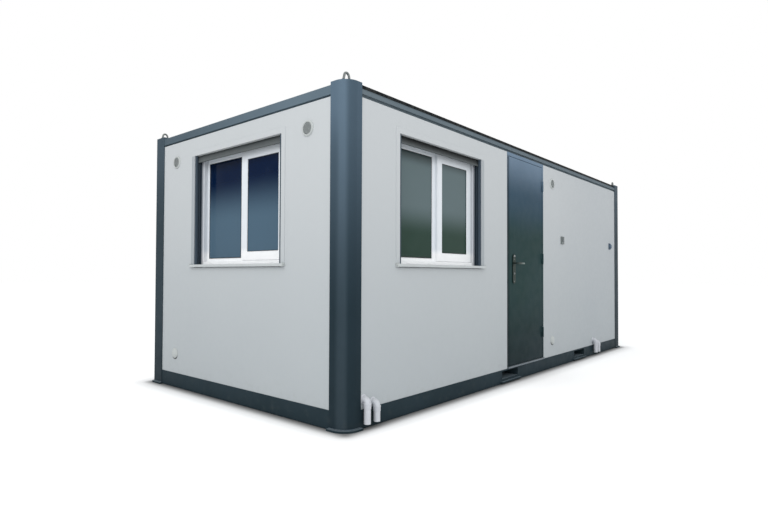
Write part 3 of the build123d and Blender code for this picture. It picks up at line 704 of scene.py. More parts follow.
class Finishes:
    """The cabin's materials, made once and looked up by the record's slots or by the part that wears them."""

    def __init__(self) -> None:
        """Makes every material."""
        slats = ShutterLacquer("lacquered_shutter_slat").make()
        glass = SealedGlass("sealed_glass_unit").make()
        self.by_slot: dict[str, bpy.types.Material] = {
            "frame_paint": FrameEnamel("satin_enamel_on_frame_steel").make(),
            "wall_paint": CoilCoatedSteel("coil_coated_wall_facing").make(),
            "leaf_paint": LeafEnamel("gloss_enamel_on_door_steel").make(),
            "roof_zinc": ZincCoat("galvanised_roof_sheet", "94999b", 0.45, 0.5, 1.0, crystal=26).make(),
            "floor_ply": SheetVinyl("flecked_floor_vinyl", "75797b", 0.45, 0.4).make(),
            "ceiling_white": CoilCoatedSteel("white_laminate_ceiling_board", "dcdedb", 0.5, 0.3,
                                             low_colour="d2d4d1").make(),
            "window_pvc": WindowPlastic("extruded_window_plastic").make(),
            "sill_metal": PowderCoat("powder_coated_folded_sill", "bfc4c5", 0.4, 0.3,
                                     soiled_colour="a6a9a7", soil=0.15).make(),
            "guide_dark": PowderCoat("dark_powder_coated_shutter_guide", "404c57", 0.45, 0.1,
                                     soiled_colour="4c5256").make(),
            "threshold_steel": BrushedMetal("trodden_threshold_aluminium", "737c83", 0.38, 0.5, 1.0).make(),
            "lock_dark": BrushedMetal("dark_anodised_lock_plate", "303c37", 0.35, 0.5, 1.0,
                                      stretch=(1, 1, 40), handled_colour="1c2421").make(),
            "lever_bar": LeverBar("polished_lever_bar", "75827e", 0.22, 0.5, 1.0,
                                  handled_colour="5e6566").make(),
            # The hinges wear the leaf's enamel, with its painted reflection and shade
            "hinge_steel": LeafEnamel("gloss_enamel_over_hinge_steel", "2b4242", 0.4, 0.05,
                                      low_colour="1c2d30").make(),
            "eye_zinc": ZincCoat("hot_dip_zinc_on_bent_bar", "8a8f8c", 0.42, 0.4, 1.0, crystal=9).make(),
            "vent_grey": MouldedPlastic("moulded_vent_plastic", "b9bebd", 0.45, 0.35).make(),
            "drain_grey": MouldedPlastic("grey_drain_pipe_plastic", "c8cbd1", 0.38, 0.4,
                                         soiled_colour="a9acae", soil=0.15).make(),
            "box_grey": MouldedPlastic("light_fitting_plastic", "747b7b", 0.42, 0.3,
                                       soiled_colour="5e6462").make(),
        }
        self.rubber = BlackRubber("black_rubber_seal", "1b1d1e", 0.6, 0.3).make()
        # Black strip of painted shade on the roof's long upstands
        self.upstand_shade_black = BlackRubber("black_upstand_shade_strip", "14181b", 0.7, 0.1).make()
        self.weld = ZincCoat("painted_weld_bead", "33414b", 0.45, 0.4, 0.0, crystal=5,
                             bloom_colour="46545e").make()
        self.screw = BrushedMetal("plated_screw_steel", "9aa0a1", 0.3, 0.5, 1.0, line=0.5).make()
        self.grille = MouldedPlastic("vent_grille_plastic", "adb3b3", 0.5, 0.3,
                                     soiled_colour="9ca19f", soil=0.2).make()
        self.inlet = MouldedPlastic("blue_grey_inlet_plastic", "5a6b7c", 0.4, 0.2,
                                    soiled_colour="47535e").make()
        self.lens = MouldedPlastic("smoked_light_lens", "545c5e", 0.18, 0.3,
                                   soiled_colour="454b4c").make()
        self.door_frame = DoorFrameEnamel("gloss_enamel_on_door_frame").make()
        self.near_post = PostEnamel("satin_enamel_on_round_post").make()
        # The posts' and rails' paler tops, deeper feet and the end rails' deeper rear are painted sheen and
        # shade
        self.far_post = FrameEnamel("satin_enamel_on_plain_posts", "303d44", low_colour="2b363c",
                                    high_colour="44525c", pale=Zone(1500, 2500)).make()
        self.long_rail = FrameEnamel("satin_enamel_on_long_roof_rails", high_colour="68747b",
                                     pale=Zone(800, 2450)).make()
        self.end_rail = FrameEnamel("satin_enamel_on_end_roof_rails", high_colour="64747f",
                                    pale=Zone(800, 2450), deep=Zone(-1000, 1200, Axis.Y)).make()
        # Each window's plastic and flange get a strip of painted shade beside the shutter guide
        self.front_window = self.window_set(
            WindowPlastic("front_window_plastic_beside_guide", dust_and_guide_shade=Zone(-1250, -1182, Axis.X)),
            FlangeCoat("powder_coated_front_window_flange", guide_shade_strip=Zone(-1162, -1150, Axis.X)),
            slats, glass)
        end_slats = ShutterLacquer("lacquered_end_shutter_slat", "5a5f60", soiled_colour="4a4f50",
                                   slot_shade_zone=Zone(2150, 2215)).make()
        # The end glass's navy top and lighter foot are a painted sky reflection
        end_glass = SealedGlass("sealed_glass_unit_facing_sky", "061a38", 0.03, 0.03, low_colour="50687a",
                                change=Zone(1960, 1560), shade_colour="071327").make()
        self.end_window = self.window_set(
            WindowPlastic("end_window_plastic_beside_guide", dust_and_guide_shade=Zone(566, 617, Axis.Y)),
            FlangeCoat("powder_coated_end_window_flange", guide_shade_strip=Zone(637, 649, Axis.Y)),
            end_slats, end_glass)

    def window_set(self, plastic: WindowPlastic, flange: FlangeCoat, slats: bpy.types.Material,
                   glass: bpy.types.Material) -> dict[str, bpy.types.Material]:
        """Makes the finishes of one window.

        Args:
            plastic: Finish of its frame and sash.
            flange: Finish of its flange.
            slats: Material of its shutter's slats.
            glass: Material of its panes.

        Returns:
            A material for each of the window's nodes, by the last part of the node's name.
        """
        moulded = plastic.make()
        return {"trim": flange.make(), "sill": self.slot("sill_metal"),
                "shutter_guides": self.slot("guide_dark"), "shutter_curtain": slats,
                "frame": moulded, "sash": moulded, "panes": glass}

    def slot(self, name: str) -> bpy.types.Material:
        """Gives the material of one of the record's slots."""
        return self.by_slot[name]


@dataclass(frozen=True)
class Move:
    """One step of a bent bar: a straight run, or a bend.

    Attributes:
        run: Length of the straight run in millimetres.
        turn: Angle of the bend in degrees.
        radius: Radius of the bend's middle line in millimetres.
        axis: Axis of the bend.
    """

    run: float = 0.0
    turn: float = 0.0
    radius: float = 0.0
    axis: Triple = (0, 0, 1)


def shift(x: float, y: float, z: float = 0.0) -> Matrix:
    """Gives a shift by a distance in millimetres along each axis."""
    return Matrix.Translation(Vector((x, y, z)) * MM)


def wall_place(origin: Triple, right: Triple, out: Triple) -> Matrix:
    """Makes the place of work on an outer face: X to the right, Y up and Z out of it.

    Args:
        origin: Point of the face at ground level, in millimetres.
        right: Direction to the right, as seen from outside.
        out: Direction out of the face.

    Returns:
        Matrix from that place, in metres, to the frame.
    """
    return shift(*origin) @ Matrix((right, (0, 0, 1), out)).transposed().to_4x4()


class Workpiece:
    """A mesh that is made with bmesh operators from sizes in millimetres."""

    def __init__(self) -> None:
        """Starts an empty mesh."""
        self.mesh = bmesh.new()

    @contextmanager
    def at(self, place: Matrix) -> Iterator[None]:
        """Moves what is made inside the block to a place.

        Args:
            place: Matrix from the place, in metres, to the frame.

        Yields:
            Nothing: shapes are made in the block.
        """
        before = set(self.mesh.verts)
        yield
        fresh = [vert for vert in self.mesh.verts if vert not in before]
        bmesh.ops.transform(self.mesh, matrix=place, verts=fresh)

    def block(self, low: Triple, high: Triple, edge: float = 0.0, segments: int = 2) -> None:
        """Adds a block between two corners.

        Args:
            low: Lowest corner in millimetres.
            high: Highest corner in millimetres.
            edge: Radius of its rounded edges in millimetres.
            segments: Steps of each rounded edge.
        """
        size = (Vector(high) - Vector(low)) * MM
        middle = (Vector(high) + Vector(low)) * MM / 2
        place = Matrix.Translation(middle) @ Matrix.Diagonal((*size, 1))
        verts = bmesh.ops.create_cube(self.mesh, size=1, matrix=place)["verts"]
        if edge:
            edges = list({line for vert in verts for line in vert.link_edges})
            bmesh.ops.bevel(self.mesh, geom=edges, offset=edge * MM, segments=segments, profile=0.5,
                            affect="EDGES", material=-1)

    def turned(self, profile: Sequence[Pair], steps: int = 24) -> None:
        """Adds a turned shape round the Z axis.

        Args:
            profile: Radius and height of each point of the profile, in millimetres.
            steps: Steps of the full turn.
        """
        verts = [self.mesh.verts.new((radius * MM, 0, height * MM)) for radius, height in profile]
        edges = [self.mesh.edges.new(pair) for pair in zip(verts, verts[1:])]
        bmesh.ops.spin(self.mesh, geom=verts + edges, cent=(0, 0, 0), axis=(0, 0, 1), angle=FULL_TURN,
                       steps=steps, use_merge=True, use_duplicate=False)

    def studs(self, place: Matrix, spots: Iterable[Triple], profile: Sequence[Pair], steps: int = 12) -> None:
        """Adds the same turned shape at several spots.

        Args:
            place: Place of work from which the spots are measured.
            spots: Foot of each shape in millimetres.
            profile: Radius and height of each point of the profile, in millimetres.
            steps: Steps of the full turn.
        """
        for spot in spots:
            with self.at(place @ shift(*spot)):
                self.turned(profile, steps)

    def bar(self, radius: float, start: Triple, heading: Triple, moves: Sequence[Move],
            sides: int = 20, bore: float = 0.0, bore_depth: float = 0.0) -> None:
        """Adds a round bar or pipe that runs and bends from a starting point.

        Args:
            radius: Radius of the bar in millimetres.
            start: Middle of its first end in millimetres.
            heading: Direction in which it sets off.
            moves: Its runs and bends in order.
            sides: Sides of its section.
            bore: Radius of a blind bore in its last end, in millimetres.
            bore_depth: Depth of that bore in millimetres.
        """
        place = Vector(start) * MM
        direction = Vector(heading).normalized()
        upright = Matrix.Translation(place) @ direction.to_track_quat("Z", "Y").to_matrix().to_4x4()
        verts = bmesh.ops.create_circle(self.mesh, cap_ends=False, segments=sides, radius=radius * MM,
                                        matrix=upright)["verts"]
        ring = list({line for vert in verts for line in vert.link_edges})
        bmesh.ops.contextual_create(self.mesh, geom=ring)
        for move in moves:
            if move.run:
                made = bmesh.ops.extrude_edge_only(self.mesh, edges=ring)["geom"]
                verts = [part for part in made if isinstance(part, bmesh.types.BMVert)]
                bmesh.ops.translate(self.mesh, verts=verts, vec=direction * move.run * MM)
                place = place + direction * move.run * MM
            else:
                axis = Vector(move.axis).normalized()
                centre = place + axis.cross(direction) * move.radius * MM
                angle = math.radians(move.turn)
                steps = max(3, round(move.turn / 9))
                made = bmesh.ops.spin(self.mesh, geom=verts + ring, cent=centre, axis=axis, angle=angle,
                                      steps=steps, use_merge=False, use_duplicate=False)["geom_last"]
                verts = [part for part in made if isinstance(part, bmesh.types.BMVert)]
                turn = Matrix.Rotation(angle, 3, axis)
                place = centre + turn @ (place - centre)
                direction = turn @ direction
            known = set(verts)
            ring = [part for part in made if isinstance(part, bmesh.types.BMEdge)
                    and known.issuperset(part.verts)]
        cap = bmesh.ops.contextual_create(self.mesh, geom=ring)["faces"]
        if bore:
            bmesh.ops.inset_region(self.mesh, faces=cap, thickness=(radius - bore) * MM)
            sunk = bmesh.ops.extrude_discrete_faces(self.mesh, faces=cap)["faces"]
            bmesh.ops.translate(self.mesh, verts=list({v for face in sunk for v in face.verts}),
                                vec=-direction * bore_depth * MM)

    def ring_frame(self, low: Pair, high: Pair, width: float, back: float, depth: float,
                   edge: float = 0.0) -> None:
        """Adds a rectangular ring in the XY plane that lies inside two corners.

        Args:
            low: Lower left corner in millimetres.
            high: Upper right corner in millimetres.
            width: Width of its bars in millimetres.
            back: Height of its back in millimetres.
            depth: How far it stands up from its back in millimetres.
            edge: Radius of its front edges in millimetres.
        """
        size = ((high[0] - low[0]) * MM, (high[1] - low[1]) * MM)
        middle = ((high[0] + low[0]) * MM / 2, (high[1] + low[1]) * MM / 2, back * MM)
        place = Matrix.Translation(middle) @ Matrix.Diagonal((*size, 1, 1))
        sheet = bmesh.ops.create_grid(self.mesh, x_segments=1, y_segments=1, size=0.5,
                                      matrix=place)["verts"]
        face = sheet[0].link_faces[0]
        ring = bmesh.ops.inset_region(self.mesh, faces=[face], thickness=width * MM, use_boundary=True,
                                      use_even_offset=True)["faces"]
        bmesh.ops.delete(self.mesh, geom=[face], context="FACES_ONLY")
        made = bmesh.ops.extrude_face_region(self.mesh, geom=ring)["geom"]
        verts = [part for part in made if isinstance(part, bmesh.types.BMVert)]
        bmesh.ops.translate(self.mesh, verts=verts, vec=(0, 0, depth * MM))
        if edge:
            front = set(verts)
            rims = [part for part in made if isinstance(part, bmesh.types.BMEdge)
                    and front.issuperset(part.verts)
                    and any(not front.issuperset(face.verts) for face in part.link_faces)]
            bmesh.ops.bevel(self.mesh, geom=rims, offset=edge * MM, segments=2, profile=0.5,
                            affect="EDGES", material=-1)

    def piece(self, name: str, body: str, material: bpy.types.Material,
              stands_for: Sequence[str] = ()) -> bpy.types.Object:
        """Ends the mesh as a piece of the cabin.

        Args:
            name: Name of the piece.
            body: Body that it rides on.
            material: Its finish.
            stands_for: CAD nodes that it stands for.

        Returns:
            The new object.
        """
        bmesh.ops.remove_doubles(self.mesh, verts=self.mesh.verts, dist=MERGE_DISTANCE)
        bmesh.ops.recalc_face_normals(self.mesh, faces=self.mesh.faces)
        data = bpy.data.meshes.new(name)
        self.mesh.to_mesh(data)
        self.mesh.free()
        data.shade_smooth()
        data.set_sharp_from_angle(angle=SHARP_ANGLE)
        data.materials.append(material)
        made = bpy.data.objects.new(name, data)
        bpy.context.scene.collection.objects.link(made)
        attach(made, body)
        if stands_for:
            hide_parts(*stands_for)
        LOG.info("%s: %d faces on %s", name, len(data.polygons), body)
        return made


# The outer faces that carry fittings, and the places of the windows along them
FRONT_WALL_Y = -1321.5
LEFT_WALL_X = -3019.5
DOOR_FACE_Y = -1325.5
FRONT_WINDOW_X = -1789
END_WINDOW_Y = 10.5

# Names of the frame's corners and sides, as they end the names of its nodes
CORNERS = ("front_left", "front_right", "rear_right", "rear_left")
SIDES = ("front", "rear", "left", "right")
LONG_SIDES = SIDES[:2]

# Small screw heads: radius and height of each point
FITTING_SCREW = ((0, 1.2), (2.4, 1.0), (3.4, -0.2))
FLAG_SCREW = ((0, 1.2), (2.6, 1.0), (3.6, -0.2))
LIP_SCREW = ((0, 1.2), (2.6, 1.0), (3.8, -0.2))


def front_place(x: float, y: float = FRONT_WALL_Y) -> Matrix:
    """Gives the place of work on the front wall at a distance along X."""
    return wall_place((x, y, 0), (1, 0, 0), (0, -1, 0))


def end_place(y: float) -> Matrix:
    """Gives the place of work on the left end wall at a distance along Y."""
    return wall_place((LEFT_WALL_X, y, 0), (0, -1, 0), (-1, 0, 0))


def coat_node(name: str, material: bpy.types.Material) -> None:
    """Gives one CAD node its finish.

    Args:
        name: Name of the node.
        material: Its finish.
    """
    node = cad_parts[name]
    if not node.material_slots:
        node.data.materials.append(None)
    for holder in node.material_slots:
        holder.material = material


def dress(finishes: Finishes, wanted: dict[str, str]) -> None:
    """Gives CAD nodes the finishes of the record's slots.

    Args:
        finishes: The cabin's materials.
        wanted: For each node, the slot of its finish.
    """
    for name, slot in wanted.items():
        coat_node(name, finishes.slot(slot))


@dataclass
class SteelFrame:
    """Posts, plates, rails, pockets and eyes, with the welds that join them."""

    half_length: float = 3027.5
    front_y: float = -1329.5
    rear_y: float = 1370.5
    post_side: float = 160
    front_left_radius: float = 110
    plain_radius: float = 20
    plate_top: float = 15
    bead: float = 7
    eye_leg: float = 33
    eye_rod: float = 9
    eye_lean: float = 14.7
    eye_bend: float = 23.4
    eye_leg_run: float = 40.9
    eye_set_back: float = 62
    cap_top: float = 2470
    rail_half: float = 2867.5
    upstand_set_back: float = 24
    strip_low: float = 2440
    strip_high: float = 2465
    strip_thick: float = 2
    strip_bite: float = 0.3
    strip_edge: float = 0.8

    def build(self, finishes: Finishes) -> None:
        """Dresses the frame and builds its welds, eyes and the black strips of painted shade on the roof's
        upstands.
        """
        plain = [f"base_rail_{side}" for side in SIDES]
        plain += ["base_plates", "fork_pocket_left", "fork_pocket_right", "floor_joists"]
        dress(finishes, {name: "frame_paint" for name in plain})
        for corner in CORNERS:
            coat_node(f"corner_post_{corner}",
                      finishes.near_post if corner == "front_left" else finishes.far_post)
        for side in SIDES:
            coat_node(f"roof_rail_{side}", finishes.long_rail if side in LONG_SIDES else finishes.end_rail)
        self.build_welds(finishes)
        self.build_eyes(finishes)
        self.build_upstand_shade_strips(finishes)

    def corners(self) -> list[tuple[float, float, int, int, float]]:
        """Gives each outer corner, the way inwards from it along X and Y, and its radius."""
        return [(-self.half_length, self.front_y, 1, 1, self.front_left_radius),
                (self.half_length, self.front_y, -1, 1, self.plain_radius),
                (self.half_length, self.rear_y, -1, -1, self.plain_radius),
                (-self.half_length, self.rear_y, 1, -1, self.plain_radius)]

    def build_welds(self, finishes: Finishes) -> None:
        """Builds the weld bead round the outer side of each post's foot."""
        work = Workpiece()
        for x, y, way_x, way_y, radius in self.corners():
            run = Move(run=self.post_side - radius)
            round_corner = Move(turn=90, radius=radius, axis=(0, 0, -way_x * way_y))
            start = (x + way_x * self.post_side, y, self.plate_top)
            work.bar(self.bead, start, (-way_x, 0, 0), [run, round_corner, run], sides=10)
        work.piece("post_foot_welds", "cabin", finishes.weld)

    def build_eyes(self, finishes: Finishes) -> None:
        """Builds the bent lifting eyes and the weld beads round their legs."""
        work = Workpiece()
        beads = Workpiece()
        lean = math.radians(self.eye_lean)
        leg = Move(run=self.eye_leg_run)
        bow = Move(turn=180 - 2 * self.eye_lean, radius=self.eye_bend, axis=(0, 1, 0))
        inner = self.eye_rod - 1
        collar = [(inner, 0), (inner + 7, 0), (inner + 6, 3), (inner + 3, 5.5), (inner, 7)]
        for x, y, way_x, way_y, _radius in self.corners():
            middle_x, middle_y = x + way_x * self.eye_set_back, y + way_y * self.eye_set_back
            feet = [(middle_x + side * self.eye_leg, middle_y, self.cap_top) for side in (-1, 1)]
            work.bar(self.eye_rod, feet[0], (math.sin(lean), 0, math.cos(lean)), [leg, bow, leg], sides=18)
            beads.studs(Matrix.Identity(4), feet, collar, steps=20)
        work.piece("lifting_eye_bars", "cabin", finishes.slot("eye_zinc"), ["lifting_eyes"])
        beads.piece("lifting_eye_welds", "cabin", finishes.weld)

    def build_upstand_shade_strips(self, finishes: Finishes) -> None:
        """Builds the black strip of painted shade along the outer face of each long upstand of the roof."""
        work = Workpiece()
        for face, out in ((self.front_y + self.upstand_set_back, -1),
                          (self.rear_y - self.upstand_set_back, 1)):
            near, far = sorted((face - out * self.strip_bite, face + out * self.strip_thick))
            work.block((-self.rail_half, near, self.strip_low), (self.rail_half, far, self.strip_high),
                       edge=self.strip_edge)
        work.piece("roof_upstand_shade_strip", "cabin", finishes.upstand_shade_black)


@dataclass
class Shell:
    """Walls, floor, ceiling and roof sheet, with the roof's screws."""

    middle_y: float = 20.5
    rib_pitch: float = 250
    rib_count: int = 22
    rib_top: float = 2440
    screw_rows: tuple[float, ...] = (-1200, -600, 0, 600, 1200)
    washer: tuple[Pair, ...] = ((0, 1.6), (6, 1.6), (8, 0.8), (8.5, -0.3))
    hexagon: tuple[Pair, ...] = ((0, 6), (4, 6), (4.6, 5.2), (4.6, 1.2))

    def build(self, finishes: Finishes) -> None:
        """Dresses the shell and builds the roof's screws on the crowns of its ribs."""
        walls = ("front_wall_left", "front_wall_right", "rear_wall", "left_wall", "right_wall")
        dress(finishes, {name: "wall_paint" for name in walls})
        dress(finishes, {"floor_board": "floor_ply", "ceiling_panel": "ceiling_white",
                         "roof_sheet": "roof_zinc"})
        work = Workpiece()
        reach = (self.rib_count - 1) * self.rib_pitch / 2
        spots = [(number * self.rib_pitch - reach, self.middle_y + row, self.rib_top)
                 for number in range(self.rib_count) for row in self.screw_rows]
        work.studs(Matrix.Identity(4), spots, self.washer, steps=10)
        work.studs(Matrix.Identity(4), spots, self.hexagon, steps=6)
        work.piece("roof_screws", "cabin", finishes.screw)


@dataclass
class WindowUnit:
    """One window with its flange, sill, shutter, frame, sash and glass.

    Attributes:
        name: Start of its nodes' names.
        place: Place of its opening on the wall's outer face.
        wears: Material of each of its nodes, by the last part of the node's name.
    """

    name: str
    place: Matrix
    wears: dict[str, bpy.types.Material]
    fixed_pane: tuple[float, ...] = (-545, 1240, -44, 2124)
    sash_pane: tuple[float, ...] = (80, 1289, 496, 2085)
    fixed_depth: float = 109
    sash_depth: float = 87
    gasket_width: float = 5
    gasket_stand: float = 2.5
    flange_half: float = 676
    sill_top: float = 1182
    sill_reach: float = 25
    sill_drop: float = 23
    end_cap_half: float = 3
    frame_depth: float = 62
    cap_half: float = 18
    cap_low: float = 1190
    cap_high: float = 1200
    cap_places: tuple[float, ...] = (-440, -140, 190, 440)

    def build(self, finishes: Finishes) -> None:
        """Dresses the window and builds its seals, drain caps and sill end caps."""
        for part, material in self.wears.items():
            coat_node(f"{self.name}_{part}", material)
        self.build_gaskets(finishes)
        self.build_caps(finishes)

    def build_gaskets(self, finishes: Finishes) -> None:
        """Builds the rubber seals round both panes."""
        work = Workpiece()
        with work.at(self.place):
            for (left, low, right, high), depth in ((self.fixed_pane, self.fixed_depth),
                                                    (self.sash_pane, self.sash_depth)):
                work.ring_frame((left, low), (right, high), self.gasket_width, -depth,
                                self.gasket_stand, edge=1)
        work.piece(f"{self.name}_glass_seals", "cabin", finishes.rubber)

    def build_caps(self, finishes: Finishes) -> None:
        """Builds the caps over the frame's drain slots, and the end caps of the sill."""
        caps = Workpiece()
        with caps.at(self.place):
            for x in self.cap_places:
                caps.block((x - self.cap_half, self.cap_low, -self.frame_depth - 0.5),
                           (x + self.cap_half, self.cap_high, -self.frame_depth + 3), edge=1.5)
        caps.piece(f"{self.name}_drain_caps", "cabin", finishes.slot("window_pvc"))
        ends = Workpiece()
        with ends.at(self.place):
            for middle in (-self.flange_half, self.flange_half):
                ends.block((middle - self.end_cap_half, self.sill_top - self.sill_drop - 1, 0.5),
                           (middle + self.end_cap_half, self.sill_top + 5, self.sill_reach + 1), edge=1.2)
        ends.piece(f"{self.name}_sill_end_caps", "cabin", finishes.slot("vent_grey"))


@dataclass
class DoorUnit:
    """The doorway: frame, leaf, hinges, lock, lever, seals and threshold."""

    centre_x: float = -189
    opening_half: float = 409
    leaf_thick: float = 40
    lock_x: float = -495
    lever_z: float = 1220
    plate: float = 9
    plate_screws: Pair = (1032, 1262)
    knob_z: float = 1295
    knob: tuple[Pair, ...] = ((0, 9), (5, 8.6), (9.5, 6.6), (12.4, 3), (13, -0.2))
    cylinder_z: float = 1114
    cylinder_reach: float = 5
    lever_rod: float = 9
    spindle: float = 5
    neck: float = 42
    lever_length: float = 150
    lever_bend: float = 20
    seat_gap: float = 0.3
    hinge_x: float = 217
    hinge_out: float = 9.4
    hinge_heights: tuple[float, ...] = (450, 1282, 2112)
    hinge_half: float = 55
    hinge_cap: tuple[Pair, ...] = ((9, -0.5), (9, 1.5), (7, 3.6), (3.5, 4.6), (0, 5))
    flag_out: float = 3
    flag_reach: float = 20
    flag_steps: Pair = (14, 40)
    stop_depth: float = 46
    seal_half: float = 402
    seal_top: float = 2326
    threshold_top: float = 156
    rib_reaches: tuple[float, ...] = (8, 2, -6, -14, -22, -30)
    lip_screws: tuple[float, ...] = (-380, -190, 0, 190, 380)
    lip_height: float = 148
    lip_out: float = 12

    def build(self, finishes: Finishes) -> None:
        """Dresses the door and builds its fittings."""
        dress(finishes, {"door_leaf": "leaf_paint", "door_threshold": "threshold_steel",
                         "door_lock_plates": "lock_dark", "door_lever": "lever_bar",
                         "hinge_frame_halves": "hinge_steel", "hinge_leaf_halves": "hinge_steel"})
        coat_node("door_frame", finishes.door_frame)
        self.build_lever(finishes)
        self.build_lock_fittings(finishes)
        self.build_hinge_fittings(finishes)
        self.build_seals(finishes)
        self.build_threshold(finishes)

    def sides(self) -> list[Matrix]:
        """Gives the places of work on the outer and the inner face of the leaf, over the lock."""
        inner = wall_place((self.lock_x, DOOR_FACE_Y + self.leaf_thick, 0), (-1, 0, 0), (0, 1, 0))
        return [front_place(self.lock_x, DOOR_FACE_Y), inner]

    def build_lever(self, finishes: Finishes) -> None:
        """Builds the bent lever on each face, with its collar, and the spindle between them."""
        work = Workpiece()
        reach = self.lever_length - self.lever_rod
        for place, way in zip(self.sides(), (1, -1)):
            with work.at(place):
                work.bar(self.lever_rod, (0, self.lever_z, self.plate + self.seat_gap), (0, 0, 1), [
                    Move(run=self.neck - self.lever_bend - self.seat_gap),
                    Move(turn=90, radius=self.lever_bend, axis=(0, way, 0)),
                    Move(run=reach - self.lever_bend)])
            tip = place @ shift(way * reach, self.lever_z, self.plate + self.neck)
            with work.at(tip @ Matrix.Rotation(way * math.pi / 2, 4, "Y")):
                work.turned([(9, -0.2), (8.8, 2), (7.4, 5.2), (4.6, 7.8), (0, 9)], steps=20)
            with work.at(place @ shift(0, self.lever_z, self.plate)):
                work.turned([(0, 0.3), (15, 0.3), (15, 3), (13, 5), (9.5, 6)], steps=28)
        with work.at(front_place(self.lock_x, DOOR_FACE_Y) @ shift(0, self.lever_z)):
            back = -self.leaf_thick - self.plate
            work.turned([(0, back), (self.spindle, back), (self.spindle, self.plate), (0, self.plate)],
                        steps=12)
        work.piece("door_lever_bars", "door_lever", finishes.slot("lever_bar"), ["door_lever"])

    def build_lock_fittings(self, finishes: Finishes) -> None:
        """Builds the plates' slotted screws, their knobs, and the keyed plugs in the cylinders."""
        screws = Workpiece()
        plugs = Workpiece()
        for place in self.sides():
            for z in self.plate_screws:
                with screws.at(place @ shift(0, z, self.plate)):
                    screws.turned([(0, 1.6), (3.2, 1.5), (4.6, 0.7), (5, -0.2)], steps=14)
                    screws.block((-3, -0.5, 1.2), (3, 0.5, 1.9))
            plugs.studs(place, [(0, self.knob_z, self.plate)], self.knob, steps=24)
            with plugs.at(place @ shift(0, self.cylinder_z, self.plate + self.cylinder_reach)):
                plugs.turned([(0, 0.4), (6.4, 0.4), (6.8, 0), (6.8, -0.5)], steps=18)
                plugs.turned([(12.2, -5), (14.5, -5), (14.5, -3.2), (12.2, -2.4)], steps=24)
                plugs.block((-0.8, -4.5, 0.2), (0.8, 4.5, 0.9))
        screws.piece("lock_plate_screws", "door", finishes.screw)
        plugs.piece("lock_cylinder_plugs", "door", finishes.screw)

    def build_hinge_fittings(self, finishes: Finishes) -> None:
        """Builds the domed caps of the hinge pins and the screws of their flags."""
        face = front_place(self.hinge_x, DOOR_FACE_Y)
        foot_cap = [(radius, -height) for radius, height in reversed(self.hinge_cap)]
        for way, gap, cap, name, body in ((1, 0.5, self.hinge_cap, "hinge_leaf_caps", "door"),
                                          (-1, 0.0, foot_cap, "hinge_frame_caps", "cabin")):
            work = Workpiece()
            for z in self.hinge_heights:
                end = shift(0, z + way * self.hinge_half + gap, self.hinge_out)
                with work.at(face @ end @ Matrix.Rotation(-math.pi / 2, 4, "X")):
                    work.turned(cap, steps=20)
                work.studs(face, [(-way * self.flag_reach, z + way * step, self.flag_out)
                                  for step in self.flag_steps], FLAG_SCREW)
            work.piece(name, body, finishes.slot("hinge_steel"))

    def build_seals(self, finishes: Finishes) -> None:
        """Builds the rubber seal on the stop behind the leaf."""
        work = Workpiece()
        back, front = -self.stop_depth - 0.3, -self.stop_depth + 5
        side, head = self.seal_half, self.seal_top
        with work.at(front_place(self.centre_x, DOOR_FACE_Y)):
            for low, high in (((-side - 2, self.threshold_top), (-side + 8, head)),
                              ((side - 8, self.threshold_top), (side + 2, head)),
                              ((-side, head - 8), (side, head + 2))):
                work.block((*low, back), (*high, front), edge=2)
        work.piece("door_stop_seals", "cabin", finishes.rubber)

    def build_threshold(self, finishes: Finishes) -> None:
        """Builds the tread ribs along the threshold and the screws in its lip."""
        ribs = Workpiece()
        place = front_place(self.centre_x, DOOR_FACE_Y)
        with ribs.at(place):
            for out in self.rib_reaches:
                half = self.opening_half - 2 if out <= 0 else self.opening_half + 30
                ribs.block((-half, self.threshold_top - 0.3, out - 1),
                           (half, self.threshold_top + 1, out + 1), edge=0.5, segments=1)
        ribs.piece("threshold_ribs", "cabin", finishes.slot("threshold_steel"))
        screws = Workpiece()
        screws.studs(place, [(x, self.lip_height, self.lip_out) for x in self.lip_screws], LIP_SCREW)
        screws.piece("threshold_screws", "cabin", finishes.screw)


